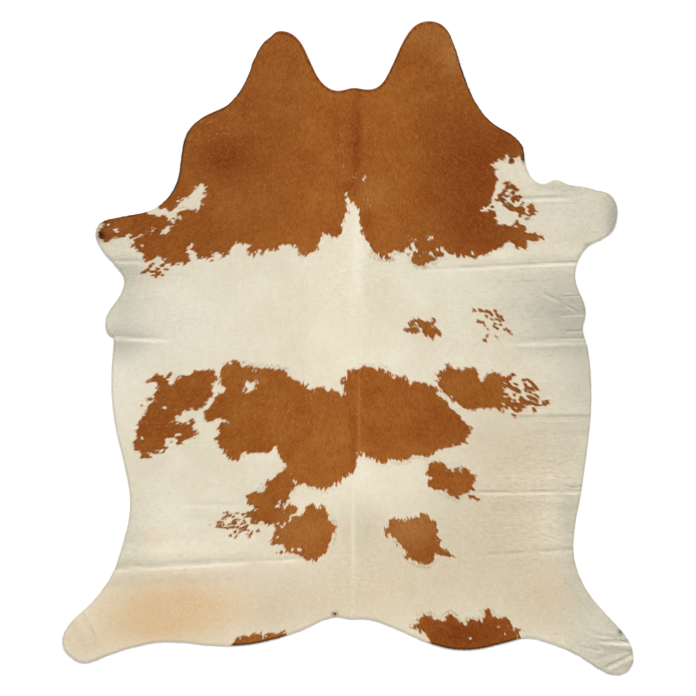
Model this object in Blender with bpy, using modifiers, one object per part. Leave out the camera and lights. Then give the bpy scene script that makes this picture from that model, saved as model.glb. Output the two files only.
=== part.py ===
"""A cowhide rug: one tanned skin with its short coat left on, laid out flat with the hair up.

It is a single solid. The skin keeps the outline of the animal: two neck flaps, the shoulders, four
legs and the rump. It lies on its flat underside and lifts by a few millimetres where it was folded
for transport, along the backbone, at the flanks and at the ends of three legs.

Frame: metres, +X across the rug, +Y towards the neck, +Z up. The origin is on the floor under the
middle of the rug's length and width.
"""

from collections import namedtuple
import math

import bmesh
import bpy
from mathutils import Vector

RUG = "cowhide_rug"
HIDE = "cowhide"

LEATHER = 0.0020
COAT = 0.0020
THICKNESS = LEATHER + COAT

CURVE_STEPS = 3
CELL = 0.050
SAME_PLACE = 0.0015
SHARP_ANGLE = math.radians(40.0)

# Points along the cut edge, clockwise seen from above, as (x, y) in metres. Between two points the
# edge is one smooth bend, so a point stands only where the edge turns.
EDGE = {
    "left neck flap": (
        (-0.400, 0.818), (-0.341, 0.898), (-0.304, 0.992), (-0.272, 1.037), (-0.257, 1.044),
        (-0.250, 1.056), (-0.222, 1.065), (-0.172, 1.043), (-0.128, 0.966), (-0.088, 0.892),
    ),
    "between the flaps": (
        (-0.040, 0.863), (0.020, 0.874), (0.070, 0.867), (0.106, 0.879),
    ),
    "right neck flap": (
        (0.146, 0.942), (0.192, 1.040), (0.228, 1.084), (0.272, 1.098), (0.320, 1.083),
        (0.352, 1.032), (0.388, 0.916),
    ),
    "right shoulder": (
        (0.446, 0.798), (0.490, 0.752), (0.556, 0.712), (0.586, 0.677), (0.594, 0.620),
        (0.626, 0.560),
    ),
    "right foreleg": (
        (0.664, 0.551), (0.696, 0.567), (0.732, 0.550), (0.800, 0.540), (0.834, 0.528),
        (0.866, 0.523), (0.901, 0.476), (0.893, 0.410), (0.856, 0.369), (0.806, 0.347),
    ),
    "right flank": (
        (0.770, 0.292), (0.763, 0.222), (0.791, 0.150), (0.798, 0.112), (0.787, 0.078),
        (0.789, 0.046), (0.802, 0.006),
    ),
    "right belly": (
        (0.816, -0.130), (0.809, -0.280), (0.780, -0.490), (0.757, -0.630), (0.758, -0.704),
    ),
    "right hind leg": (
        (0.796, -0.806), (0.870, -0.898), (0.930, -0.966), (0.955, -1.024), (0.949, -1.074),
        (0.908, -1.096), (0.852, -1.079), (0.776, -1.030),
    ),
    "right rump": (
        (0.664, -0.984), (0.604, -0.971), (0.534, -0.987), (0.404, -1.013), (0.296, -0.997),
        (0.176, -0.946), (0.074, -0.909),
    ),
    "tail stump": (
        (0.006, -0.908), (-0.044, -0.900),
    ),
    "left rump": (
        (-0.160, -0.947), (-0.290, -0.987), (-0.410, -0.999), (-0.620, -0.984),
        (-0.730, -1.005), (-0.820, -1.034),
    ),
    "left hind leg": (
        (-0.886, -1.056), (-0.938, -1.028), (-0.957, -0.984), (-0.936, -0.932),
        (-0.854, -0.850), (-0.790, -0.762),
    ),
    "left belly": (
        (-0.752, -0.656), (-0.728, -0.524), (-0.744, -0.410), (-0.782, -0.244),
        (-0.792, -0.100), (-0.784, 0.014), (-0.783, 0.035),
    ),
    "left flank": (
        (-0.805, 0.053), (-0.809, 0.104), (-0.762, 0.176), (-0.748, 0.232), (-0.786, 0.288),
    ),
    "left foreleg": (
        (-0.834, 0.346), (-0.846, 0.388), (-0.827, 0.420), (-0.800, 0.431), (-0.706, 0.449),
        (-0.654, 0.464), (-0.600, 0.508),
    ),
    "left shoulder": (
        (-0.570, 0.560), (-0.557, 0.640), (-0.539, 0.720), (-0.494, 0.770), (-0.436, 0.799),
    ),
}

# A fold is a straight crease with a soft swell on its neck side and another on its tail side. It
# starts as nothing at its inner end. One that runs out over the rug's edge is full height from
# halfway on, and one that does not dies away again at its outer end.
Fold = namedtuple("Fold", "name inner outer neck_swell neck_reach tail_swell tail_reach runs_out")
FOLDS = (
    Fold("right elbow", (0.580, 0.496), (0.760, 0.502), 0.0020, 0.045, 0.0016, 0.050, False),
    Fold("right front", (0.300, 0.266), (0.790, 0.288), 0.0036, 0.070, 0.0026, 0.080, True),
    Fold("left front", (-0.620, 0.290), (-0.830, 0.292), 0.0018, 0.050, 0.0014, 0.050, True),
    Fold("right middle", (0.500, 0.020), (0.810, 0.030), 0.0044, 0.095, 0.0026, 0.060, True),
    Fold("left middle", (-0.560, 0.028), (-0.810, 0.038), 0.0050, 0.110, 0.0022, 0.050, True),
    Fold("right hip", (0.560, -0.247), (0.830, -0.240), 0.0018, 0.060, 0.0022, 0.055, True),
    Fold("right thigh", (0.380, -0.487), (0.800, -0.482), 0.0030, 0.075, 0.0036, 0.070, True),
    Fold("left thigh", (-0.340, -0.528), (-0.620, -0.522), 0.0012, 0.055, 0.0016, 0.055, False),
    Fold("left rump", (-0.180, -0.706), (-0.790, -0.739), 0.0040, 0.090, 0.0032, 0.075, True),
    Fold("right rump", (0.520, -0.692), (0.770, -0.676), 0.0014, 0.060, 0.0018, 0.060, True),
    Fold("right hock", (0.780, -0.945), (0.950, -0.992), 0.0022, 0.035, 0.0026, 0.040, True),
    Fold("right toe", (0.790, -1.052), (0.965, -1.018), 0.0024, 0.040, 0.0030, 0.045, True),
    Fold("left toe", (-0.838, -1.020), (-0.906, -0.884), 0.0016, 0.040, 0.0026, 0.045, True),
)
CREASE_PEAK = 27.0 / 4.0

# The backbone stands as one low, soft ridge from the neck to the tail stump.
SPINE_X = 0.035
SPINE_HEIGHT = 0.0016
SPINE_REACH = 0.055
SPINE_FADE = 0.200

# Broad swells, where the skin is slack and does not lie quite down.
Swell = namedtuple("Swell", "name x y half_width half_length height")
SWELLS = (
    Swell("left flank", -0.640, 0.130, 0.210, 0.100, 0.0036),
    Swell("right flank", 0.700, 0.140, 0.150, 0.110, 0.0038),
    Swell("left knee", -0.730, -0.670, 0.130, 0.110, 0.0028),
    Swell("right elbow", 0.700, 0.500, 0.150, 0.090, 0.0030),
    Swell("right hock", 0.830, -0.960, 0.120, 0.100, 0.0034),
    Swell("left hock", -0.880, -0.960, 0.110, 0.110, 0.0030),
)

# The thin ends of the legs curl up from the floor: each from a start line, across which the edge
# rises in the direction given, over a run and for a stretch to both sides of the start point.
Curl = namedtuple("Curl", "name start towards run half_stretch height")
CURLS = (
    Curl("right foreleg end", (0.860, 0.450), (1.00, 0.05), 0.045, 0.130, 0.0080),
    Curl("right hind leg side", (0.855, -0.945), (0.76, 0.65), 0.060, 0.170, 0.0075),
    Curl("left hind leg end", (-0.900, -0.960), (-0.90, 0.25), 0.055, 0.130, 0.0035),
)


def remove_everything():
    """Empty the scene."""
    for old in list(bpy.data.objects):
        bpy.data.objects.remove(old, do_unlink=True)


def smooth(share):
    """Ease from 0 to 1 as the share goes from 0 to 1."""
    share = min(max(share, 0.0), 1.0)
    return share * share * (3.0 - 2.0 * share)


def along_and_across(x, y, start, end):
    """How far a place lies along a line, as a share of its length, and how far to its left side."""
    line = Vector(end) - Vector(start)
    place = Vector((x, y)) - Vector(start)
    along = place.dot(line) / line.length_squared
    across = line.cross(place) / line.length
    return along, across


def side_of(fold, across):
    """The height and the reach of the swell on one side of a fold's crease."""
    runs_right = fold.outer[0] > fold.inner[0]
    if (across > 0.0) == runs_right:
        return fold.neck_swell, fold.neck_reach
    return fold.tail_swell, fold.tail_reach


def fold_height(fold, x, y):
    """The height of a fold's two swells, which meet the floor in the crease between them."""
    along, across = along_and_across(x, y, fold.inner, fold.outer)
    swell, reach = side_of(fold, across)
    share = abs(across) / reach
    if share >= 1.0:
        return 0.0
    fade = smooth(2.0 * along)
    if not fold.runs_out:
        fade *= smooth(2.0 - 2.0 * along)
    return swell * CREASE_PEAK * share * (1.0 - share) ** 2 * fade


def spine_height(x, y, tail_y, neck_y):
    """The height of the backbone's ridge, which fades out at the neck and at the tail."""
    share = abs(x - SPINE_X) / SPINE_REACH
    if share >= 1.0:
        return 0.0
    to_end = min(y - tail_y, neck_y - y)
    return SPINE_HEIGHT * (1.0 - share * share) ** 2 * smooth(to_end / SPINE_FADE)


def swell_height(swell, x, y):
    """The height of a broad round swell."""
    across = (x - swell.x) / swell.half_width
    along = (y - swell.y) / swell.half_length
    inside = 1.0 - across * across - along * along
    return swell.height * max(inside, 0.0) ** 2


def curl_height(curl, x, y):
    """How far a curled end or side has left the floor."""
    direction = Vector(curl.towards).normalized()
    place = Vector((x, y)) - Vector(curl.start)
    beyond = place.dot(direction) / curl.run
    beside = abs(direction.cross(place)) / curl.half_stretch
    return curl.height * smooth(beyond) * smooth(2.0 - 2.0 * beside)


def underside_height(x, y):
    """The height of the leather's underside above the floor."""
    height = spine_height(x, y, tail_y=-0.900, neck_y=0.870)
    height += sum(fold_height(fold, x, y) for fold in FOLDS)
    height += sum(swell_height(swell, x, y) for swell in SWELLS)
    height += sum(curl_height(curl, x, y) for curl in CURLS)
    return height


def flat_cut():
    """The hide's outline as one flat face: a closed smooth curve, filled."""
    curve = bpy.data.curves.new("outline", "CURVE")
    curve.dimensions = "2D"
    curve.fill_mode = "BOTH"
    curve.resolution_u = CURVE_STEPS
    points = [point for region in EDGE.values() for point in region]
    spline = curve.splines.new("BEZIER")
    spline.use_cyclic_u = True
    spline.bezier_points.add(len(points) - 1)
    for knot, (x, y) in zip(spline.bezier_points, points):
        knot.co = (x, y, 0.0)
        knot.handle_left_type = "AUTO"
        knot.handle_right_type = "AUTO"
    outline = bpy.data.objects.new("outline", curve)
    bpy.context.scene.collection.objects.link(outline)
    evaluated = outline.evaluated_get(bpy.context.evaluated_depsgraph_get())
    mesh = bpy.data.meshes.new_from_object(evaluated)
    mesh.name = HIDE
    bpy.data.objects.remove(outline, do_unlink=True)
    bpy.data.curves.remove(curve)
    return mesh


def cut_along(hide, faces, place, normal):
    """Cut some faces of the sheet along an upright plane."""
    edges = {edge for face in faces for edge in face.edges}
    verts = {vert for face in faces for vert in face.verts}
    bmesh.ops.bisect_plane(
        hide,
        geom=list(faces) + list(edges) + list(verts),
        dist=SAME_PLACE,
        plane_co=place,
        plane_no=normal,
    )


def cut_into_cells(hide):
    """Cut the whole sheet into square cells, counted from the middle of the rug."""
    for axis in (0, 1):
        reach = max(abs(vert.co[axis]) for vert in hide.verts)
        normal = Vector((0.0, 0.0, 0.0))
        normal[axis] = 1.0
        count = math.ceil(reach / CELL)
        for step in range(-count, count + 1):
            cut_along(hide, list(hide.faces), normal * step * CELL, normal)


def cut_at_fold(hide, fold):
    """Add lines in the crease, on the tops of its two swells and where they meet the floor."""
    line = (Vector(fold.outer) - Vector(fold.inner)).normalized()
    normal = Vector((-line.y, line.x, 0.0))
    start = Vector((fold.inner[0], fold.inner[1], 0.0))
    left_reach = side_of(fold, 1.0)[1]
    right_reach = side_of(fold, -1.0)[1]
    lines = (-right_reach, -right_reach / 3.0, 0.0, left_reach / 3.0, left_reach)
    widest = max(left_reach, right_reach) + CELL
    for offset in lines:
        near = []
        for face in hide.faces:
            middle = face.calc_center_median()
            along, across = along_and_across(middle.x, middle.y, fold.inner, fold.outer)
            if along > 0.0 and abs(across) < widest and (fold.runs_out or along < 1.0):
                near.append(face)
        cut_along(hide, near, start + normal * offset, normal)


def cut_at_spine(hide):
    """Add lines on the top of the backbone's ridge and halfway down its two sides."""
    normal = Vector((1.0, 0.0, 0.0))
    for share in (-0.5, 0.0, 0.5):
        near = [f for f in hide.faces if abs(f.calc_center_median().x - SPINE_X) < CELL]
        place = Vector((SPINE_X + share * SPINE_REACH, 0.0, 0.0))
        cut_along(hide, near, place, normal)


def hide_finish():
    """Brown and cream coat, dry and with a slight sheen, shown here as one even colour."""
    material = bpy.data.materials.new(HIDE)
    material.use_nodes = True
    shader = material.node_tree.nodes["Principled BSDF"]
    shader.inputs["Base Color"].default_value = (0.47, 0.34, 0.22, 1.0)
    shader.inputs["Roughness"].default_value = 0.65
    shader.inputs["Metallic"].default_value = 0.0
    return material


def make_hide(collection):
    """The whole skin: cut out, creased, and as thick as its leather and coat together."""
    mesh = flat_cut()
    hide = bmesh.new()
    hide.from_mesh(mesh)
    bmesh.ops.remove_doubles(hide, verts=hide.verts, dist=0.0001)
    bmesh.ops.dissolve_faces(hide, faces=hide.faces)
    cut_into_cells(hide)
    for fold in FOLDS:
        cut_at_fold(hide, fold)
    cut_at_spine(hide)
    bmesh.ops.triangulate(hide, faces=hide.faces)
    for vert in hide.verts:
        vert.co.z = underside_height(vert.co.x, vert.co.y)
    hide.to_mesh(mesh)
    hide.free()
    mesh.shade_smooth()
    mesh.set_sharp_from_angle(angle=SHARP_ANGLE)
    mesh.materials.append(hide_finish())
    rug = bpy.data.objects.new(HIDE, mesh)
    collection.objects.link(rug)
    upwards = rug.modifiers.new("leather and coat", "SOLIDIFY")
    upwards.thickness = THICKNESS
    upwards.offset = 1.0
    return rug


def main():
    remove_everything()
    collection = bpy.data.collections.new(RUG)
    bpy.context.scene.collection.children.link(collection)
    make_hide(collection)


main()
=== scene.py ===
# %% [markdown]
# # A cowhide rug, dressed around its solid
#
# The rug is one tanned skin with its short coat left on. The solid from the workshop script knows
# its outline, its folds and its weight. This lesson gives it its looks: a thin leather sheet that
# follows the same folds, brown patches marked out by hand, and about three quarters of a million
# locks of hair that lie the way the coat lay on the animal.
#
# Everything is in metres, in the frame of the solid: +X across the rug, +Y towards the neck, and
# +Z up from the floor.

# %% Load the frame
import math
from collections import namedtuple

import bpy
import numpy as np
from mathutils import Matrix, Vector, kdtree
from mathutils.geometry import delaunay_2d_cdt


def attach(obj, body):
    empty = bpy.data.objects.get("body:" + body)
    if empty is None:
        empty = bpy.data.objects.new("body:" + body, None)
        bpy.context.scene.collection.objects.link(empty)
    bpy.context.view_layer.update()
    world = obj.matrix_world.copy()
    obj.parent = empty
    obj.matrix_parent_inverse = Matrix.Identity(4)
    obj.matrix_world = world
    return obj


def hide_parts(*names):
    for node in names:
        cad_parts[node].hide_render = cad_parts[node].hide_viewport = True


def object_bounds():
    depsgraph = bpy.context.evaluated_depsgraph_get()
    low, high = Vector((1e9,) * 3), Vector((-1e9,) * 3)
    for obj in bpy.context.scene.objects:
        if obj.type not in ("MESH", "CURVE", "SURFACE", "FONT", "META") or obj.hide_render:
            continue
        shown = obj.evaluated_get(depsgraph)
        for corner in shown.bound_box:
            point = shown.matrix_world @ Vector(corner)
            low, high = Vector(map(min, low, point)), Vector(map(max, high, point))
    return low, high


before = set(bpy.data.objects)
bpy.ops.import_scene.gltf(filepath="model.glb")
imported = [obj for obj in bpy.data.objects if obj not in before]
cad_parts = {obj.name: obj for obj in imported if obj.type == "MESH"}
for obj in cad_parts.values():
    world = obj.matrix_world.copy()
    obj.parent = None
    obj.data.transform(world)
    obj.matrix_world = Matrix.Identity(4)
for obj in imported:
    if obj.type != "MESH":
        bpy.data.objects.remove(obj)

cad_low, cad_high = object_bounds()
low = np.array(cad_low)
high = np.array(cad_high)
print("solid's box:", (high - low).round(4), "m; nodes:", sorted(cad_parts))

# %% [markdown]
# ## Studio
#
# A rug is shown best from straight above, as it lies on a pale floor. One far, soft lamp stands
# beyond the neck, so that each crease shows one bright and one shaded side, and an even white
# surround fills the rest. Panels around the rug would do as well, but a far lamp lights the neck and
# the rump alike. The standard view transform keeps the whites white.

# %% Camera
CAMERA_HEIGHT = 5.0
VIEW_WIDTH = 2.339
CAMERA_AIM = (0.0008, -0.0008)

camera_data = bpy.data.cameras.new("overhead")
camera_data.lens = camera_data.sensor_width * CAMERA_HEIGHT / VIEW_WIDTH
camera = bpy.data.objects.new("overhead", camera_data)
camera.location = (*CAMERA_AIM, CAMERA_HEIGHT)
bpy.context.scene.collection.objects.link(camera)
bpy.context.scene.camera = camera
bpy.context.scene.view_settings.view_transform = "Standard"
print("lens:", round(camera_data.lens, 1), "mm")

# %% Lamp and surround
KEY_FROM = (0.03, 1.0, 0.68)
KEY_STRENGTH = 3.2
KEY_SOFTNESS = math.radians(20.0)
SURROUND = 0.50


def light_studio():
    """One large far lamp beyond the neck, and an even white surround."""
    data = bpy.data.lights.new("key", "SUN")
    data.energy = KEY_STRENGTH
    data.angle = KEY_SOFTNESS
    light = bpy.data.objects.new("key", data)
    light.rotation_euler = (-Vector(KEY_FROM)).to_track_quat("-Z", "Y").to_euler()
    bpy.context.scene.collection.objects.link(light)
    world = bpy.data.worlds.new("surround")
    world.use_nodes = True
    world.node_tree.nodes["Background"].inputs["Color"].default_value = (1.0, 1.0, 1.0, 1.0)
    world.node_tree.nodes["Background"].inputs["Strength"].default_value = SURROUND
    bpy.context.scene.world = world


light_studio()
print("key lamp stands", round(math.degrees(math.atan2(KEY_FROM[2], KEY_FROM[1]))), "degrees high")

# %% [markdown]
# ## Shader sums as Python
#
# A coat's colour is a sum of small things: clouds, locks, tints at the legs. Written as nodes, each
# sum is a chain of Math nodes. A small class that wraps a socket lets Python's own operators add
# those nodes, so the recipe reads like arithmetic. Colours go through Mix nodes, because a Math node
# would turn them grey, and every other node comes from one method.

# %% A socket that can be reckoned with


class Wire:
    """A node's output. Arithmetic on it adds Math nodes to the same bench."""

    def __init__(self, bench, socket):
        self.bench = bench
        self.socket = socket

    def math(self, operation, *values, clamp=False):
        """A Math node on some values, this wire among them."""
        settings = {"operation": operation, "use_clamp": clamp}
        sockets = dict(enumerate(values))
        return self.bench.node("ShaderNodeMath", settings, sockets)

    def __add__(self, other):
        return self.math("ADD", self, other)

    def __radd__(self, other):
        return self.math("ADD", other, self)

    def __sub__(self, other):
        return self.math("SUBTRACT", self, other)

    def __rsub__(self, other):
        return self.math("SUBTRACT", other, self)

    def __mul__(self, other):
        return self.math("MULTIPLY", self, other)

    def __rmul__(self, other):
        return self.math("MULTIPLY", other, self)

    def held(self):
        """The same value, held between 0 and 1."""
        return self.math("ADD", self, 0.0, clamp=True)

    def ramp(self, start, end):
        """0 below start, 1 above end, and an even slope between."""
        return ((self - start) * (1.0 / (end - start))).held()


class Bench:
    """The node tree of one material, with its Principled shader."""

    def __init__(self, name):
        self.material = bpy.data.materials.new(name)
        self.material.use_nodes = True
        self.tree = self.material.node_tree
        self.shader = self.tree.nodes["Principled BSDF"]

    def plug(self, value, socket):
        """Link a wire to a socket, or write a plain value on it."""
        if isinstance(value, Wire):
            self.tree.links.new(value.socket, socket)
        else:
            socket.default_value = value

    def node(self, kind, settings=None, sockets=None, output=0):
        """Any node: its settings first, then the values or wires of its sockets."""
        made = self.tree.nodes.new(kind)
        for setting, value in (settings or {}).items():
            setattr(made, setting, value)
        for key, value in (sockets or {}).items():
            self.plug(value, made.inputs[key])
        return Wire(self, made.outputs[output])

    def blend(self, first, second, share):
        """A colour between two colours."""
        settings = {"data_type": "RGBA", "clamp_factor": True}
        return self.node("ShaderNodeMix", settings, {0: share, 6: first, 7: second}, 2)

    def noise(self, place, scale, detail=2.0, roughness=0.5):
        """Soft noise between 0 and 1, with about scale features to a metre."""
        sockets = {"Vector": place, "Scale": scale, "Detail": detail, "Roughness": roughness}
        return self.node("ShaderNodeTexNoise", None, sockets, "Fac")

    def read(self, attribute):
        """A value that the mesh carries at its points."""
        return self.node("ShaderNodeAttribute", {"attribute_name": attribute}, None, "Fac")

    def place(self):
        """Where a spot lies on the rug, in metres."""
        return self.node("ShaderNodeTexCoord", None, None, "Object")

    def stretched(self, place, across, along):
        """The same place with its two directions scaled, so that noise on it is drawn out."""
        settings = {"operation": "MULTIPLY"}
        return self.node("ShaderNodeVectorMath", settings, {0: place, 1: (across, along, 1.0)})

    def dye(self, colour, roughness, gloss=None, height=None, depth=0.0):
        """Wire up the shader: colour and roughness, its gloss as a number, and fine relief."""
        self.plug(colour, self.shader.inputs["Base Color"])
        self.plug(roughness, self.shader.inputs["Roughness"])
        if gloss is not None:
            self.shader.inputs["Specular IOR Level"].default_value = gloss
        if height is not None:
            sockets = {"Height": height, "Distance": depth, "Strength": 1.0}
            relief = self.node("ShaderNodeBump", None, sockets, "Normal")
            self.plug(relief, self.shader.inputs["Normal"])
        return self.material


def paint(red, green, blue):
    """A colour from the numbers of a colour chart, 0 to 255, as the shader wants it."""
    chart = np.array((red, green, blue)) / 255.0
    linear = np.where(chart <= 0.04045, chart / 12.92, ((chart + 0.055) / 1.055) ** 2.4)
    return (*linear.tolist(), 1.0)


print("bench ready; mid cream is", [round(part, 3) for part in paint(228, 220, 200)])

# %% [markdown]
# ## Floor
#
# A plain pale floor, wide enough to show nothing but itself. It is part of the studio and not of
# the rug, so it is staged.

# %% Floor
FLOOR_SIDE = 120.0
FLOOR_DROP = 0.0005
FLOOR_CLOUDS = 3.0


def lay_floor():
    """One large square with a pale matt finish."""
    bpy.ops.mesh.primitive_plane_add(size=FLOOR_SIDE, location=(0.0, 0.0, -FLOOR_DROP))
    floor = bpy.context.active_object
    floor.name = "studio_floor"
    bench = Bench("pale floor")
    mottle = bench.noise(bench.place(), FLOOR_CLOUDS)
    tone = bench.blend(paint(252, 252, 252), paint(254, 254, 254), mottle)
    floor.data.materials.append(bench.dye(tone, 0.9, gloss=0.2))


lay_floor()
print("floor:", FLOOR_SIDE, "m square")

# %% [markdown]
# ## Folds
#
# A hide that was folded for transport keeps soft creases: a narrow valley with a swell on either
# side. They could be sculpted or simulated, but they are few and each has its own place, so they
# stay a short table, the same one that shaped the solid. Below it comes what the solid leaves out:
# the sharp line in each crease, the small wrinkles at the flanks and legs, and the places near the
# cut where thin skin dries crinkled. The backbone, the broad swells and the curled legs are the
# solid's own again.

# %% Tables of folds, swells and curls
Fold = namedtuple("Fold", "name inner outer neck_swell neck_reach tail_swell tail_reach runs_out")
FOLDS = (
    Fold("right elbow", (0.580, 0.496), (0.760, 0.502), 0.0020, 0.045, 0.0016, 0.050, False),
    Fold("right front", (0.300, 0.266), (0.790, 0.288), 0.0036, 0.070, 0.0026, 0.080, True),
    Fold("left front", (-0.620, 0.290), (-0.830, 0.292), 0.0018, 0.050, 0.0014, 0.050, True),
    Fold("right middle", (0.500, 0.020), (0.810, 0.030), 0.0044, 0.095, 0.0026, 0.060, True),
    Fold("left middle", (-0.560, 0.028), (-0.810, 0.038), 0.0050, 0.110, 0.0022, 0.050, True),
    Fold("right hip", (0.560, -0.247), (0.830, -0.240), 0.0018, 0.060, 0.0022, 0.055, True),
    Fold("right thigh", (0.380, -0.487), (0.800, -0.482), 0.0030, 0.075, 0.0036, 0.070, True),
    Fold("left thigh", (-0.340, -0.528), (-0.620, -0.522), 0.0012, 0.055, 0.0016, 0.055, False),
    Fold("left rump", (-0.180, -0.706), (-0.790, -0.739), 0.0040, 0.090, 0.0032, 0.075, True),
    Fold("right rump", (0.520, -0.692), (0.770, -0.676), 0.0014, 0.060, 0.0018, 0.060, True),
    Fold("right hock", (0.780, -0.945), (0.950, -0.992), 0.0022, 0.035, 0.0026, 0.040, True),
    Fold("right toe", (0.790, -1.052), (0.965, -1.018), 0.0024, 0.040, 0.0030, 0.045, True),
    Fold("left toe", (-0.838, -1.020), (-0.906, -0.884), 0.0016, 0.040, 0.0026, 0.045, True),
)
WRINKLES = (
    Fold("elbow line", (0.540, 0.498), (0.780, 0.507), 0.0020, 0.036, 0.0022, 0.026, False),
    Fold("front line", (0.330, 0.267), (0.790, 0.287), 0.0008, 0.014, 0.0016, 0.015, True),
    Fold("middle line", (0.520, 0.022), (0.810, 0.030), 0.0006, 0.020, 0.0024, 0.036, True),
    Fold("left middle line", (-0.560, 0.026), (-0.810, 0.036), 0.0000, 0.010, 0.0012, 0.026, True),
    Fold("hip line", (0.560, -0.262), (0.830, -0.255), 0.0022, 0.055, 0.0000, 0.010, True),
    Fold("thigh line", (0.380, -0.488), (0.800, -0.483), 0.0022, 0.016, 0.0022, 0.017, True),
    Fold("rump line", (-0.160, -0.706), (-0.790, -0.739), 0.0000, 0.010, 0.0008, 0.020, True),
    Fold("hock line", (0.800, -0.982), (0.955, -0.992), 0.0016, 0.022, 0.0034, 0.032, True),
    Fold("toe line", (0.835, -1.090), (0.965, -1.028), 0.0028, 0.032, 0.0030, 0.032, True),
    Fold("left toe line", (-0.840, -0.990), (-0.896, -0.886), 0.0016, 0.020, 0.0000, 0.010, True),
    Fold("foreleg crook", (0.780, 0.345), (0.840, 0.349), 0.0008, 0.018, 0.0008, 0.018, False),
    Fold("left crook", (-0.700, 0.164), (-0.770, 0.180), 0.0008, 0.025, 0.0006, 0.022, True),
    Fold("flank slant", (0.700, 0.172), (0.775, 0.210), 0.0008, 0.014, 0.0007, 0.012, True),
    Fold("flank upper", (0.715, 0.176), (0.790, 0.182), 0.0008, 0.014, 0.0006, 0.012, True),
    Fold("flank lower", (0.690, 0.128), (0.800, 0.136), 0.0008, 0.018, 0.0006, 0.016, True),
    Fold("flank inner", (0.650, 0.116), (0.730, 0.152), 0.0006, 0.014, 0.0006, 0.014, False),
    Fold("flank corner", (0.735, 0.130), (0.790, 0.096), 0.0006, 0.012, 0.0006, 0.012, True),
)
CREASE_PEAK = 27.0 / 4.0

SPINE_X = 0.035
SPINE_HEIGHT = 0.0016
SPINE_REACH = 0.055
SPINE_FADE = 0.200
SPINE_TAIL = -0.900
SPINE_NECK = 0.870

Swell = namedtuple("Swell", "name x y half_width half_length height")
SWELLS = (
    Swell("left flank", -0.640, 0.130, 0.210, 0.100, 0.0036),
    Swell("right flank", 0.700, 0.140, 0.150, 0.110, 0.0038),
    Swell("left knee", -0.730, -0.670, 0.130, 0.110, 0.0028),
    Swell("right elbow", 0.700, 0.500, 0.150, 0.090, 0.0030),
    Swell("right hock", 0.830, -0.960, 0.120, 0.100, 0.0034),
    Swell("left hock", -0.880, -0.960, 0.110, 0.110, 0.0030),
)

CRINKLES = (
    Swell("right flank", 0.730, 0.150, 0.090, 0.070, 0.0026),
    Swell("right shoulder", 0.640, 0.530, 0.080, 0.030, 0.0016),
    Swell("right stifle", 0.680, -0.550, 0.090, 0.110, 0.0018),
    Swell("right hip edge", 0.740, -0.440, 0.050, 0.040, 0.0020),
    Swell("right thigh edge", 0.750, -0.660, 0.050, 0.080, 0.0018),
    Swell("right belly edge", 0.720, -0.300, 0.060, 0.080, 0.0012),
    Swell("left knee", -0.740, -0.660, 0.070, 0.080, 0.0016),
    Swell("left elbow", -0.730, 0.250, 0.080, 0.050, 0.0014),
    Swell("backbone", 0.020, 0.220, 0.100, 0.100, 0.0010),
    Swell("left ribs", -0.150, 0.030, 0.150, 0.060, 0.0008),
    Swell("right hock", 0.860, -1.020, 0.080, 0.060, 0.0026),
    Swell("left toe", -0.880, -0.980, 0.060, 0.080, 0.0014),
)
CRINKLE_SIZE = 0.009
CRINKLE_DRAW = 0.4
CRINKLE_SEED = 41

Curl = namedtuple("Curl", "name start towards run half_stretch height")
CURLS = (
    Curl("right foreleg end", (0.860, 0.450), (1.00, 0.05), 0.045, 0.130, 0.0080),
    Curl("right hind leg side", (0.855, -0.945), (0.76, 0.65), 0.060, 0.170, 0.0075),
    Curl("left hind leg end", (-0.900, -0.960), (-0.90, 0.25), 0.055, 0.130, 0.0035),
)
print("folds:", len(FOLDS), "wrinkles:", len(WRINKLES), "swells:", len(SWELLS), "curls:", len(CURLS))

# %% [markdown]
# ## Uneven things
#
# Nothing on a hide is quite even, so one seeded ripple serves for wrinkles, patch edges and the sway
# of the locks. It is a square lattice of random knots with an eased slope between them, and a seed
# gives the same lattice each time.

# %% Easing and seeded ripples
LATTICE = 512
LATTICE_MIDDLE = 200.0


def ease(share):
    """Ease from 0 to 1 as the share goes from 0 to 1."""
    share = np.clip(share, 0.0, 1.0)
    return share * share * (3.0 - 2.0 * share)


def ripple(x, y, size, seed):
    """Soft unevenness between -1 and 1, in lumps about size across."""
    lattice = np.random.default_rng(seed).uniform(-1.0, 1.0, (LATTICE, LATTICE))
    column = x / size + LATTICE_MIDDLE
    row = y / size + LATTICE_MIDDLE
    left = np.floor(column).astype(int)
    below = np.floor(row).astype(int)
    right_share = ease(column - left)
    top_share = ease(row - below)

    def knot(dx, dy):
        return lattice[(below + dy) % LATTICE, (left + dx) % LATTICE]

    lower = knot(0, 0) * (1.0 - right_share) + knot(1, 0) * right_share
    upper = knot(0, 1) * (1.0 - right_share) + knot(1, 1) * right_share
    return lower * (1.0 - top_share) + upper * top_share


print("ripple at the middle:", ripple(np.array([0.0]), np.array([0.0]), 0.03, 1).round(3))

# %% [markdown]
# Each fold, swell and curl is a formula of the place. Their sum is asked for by every point of the
# leather and by every lock's root and tip, so hair and leather lift together and nothing has to be
# dropped onto anything.

# %% How high the leather lies at any place


def beside_fold(fold, x, y):
    """How far places lie from a crease, above zero towards the neck, and how strong it is there."""
    start = np.array(fold.inner)
    line = np.array(fold.outer) - start
    length = np.hypot(*line)
    along = ((x - start[0]) * line[0] + (y - start[1]) * line[1]) / length**2
    across = (line[0] * (y - start[1]) - line[1] * (x - start[0])) / length
    fade = ease(2.0 * along)
    if not fold.runs_out:
        fade = fade * ease(2.0 - 2.0 * along)
    return across * np.sign(line[0]), fade


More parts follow.
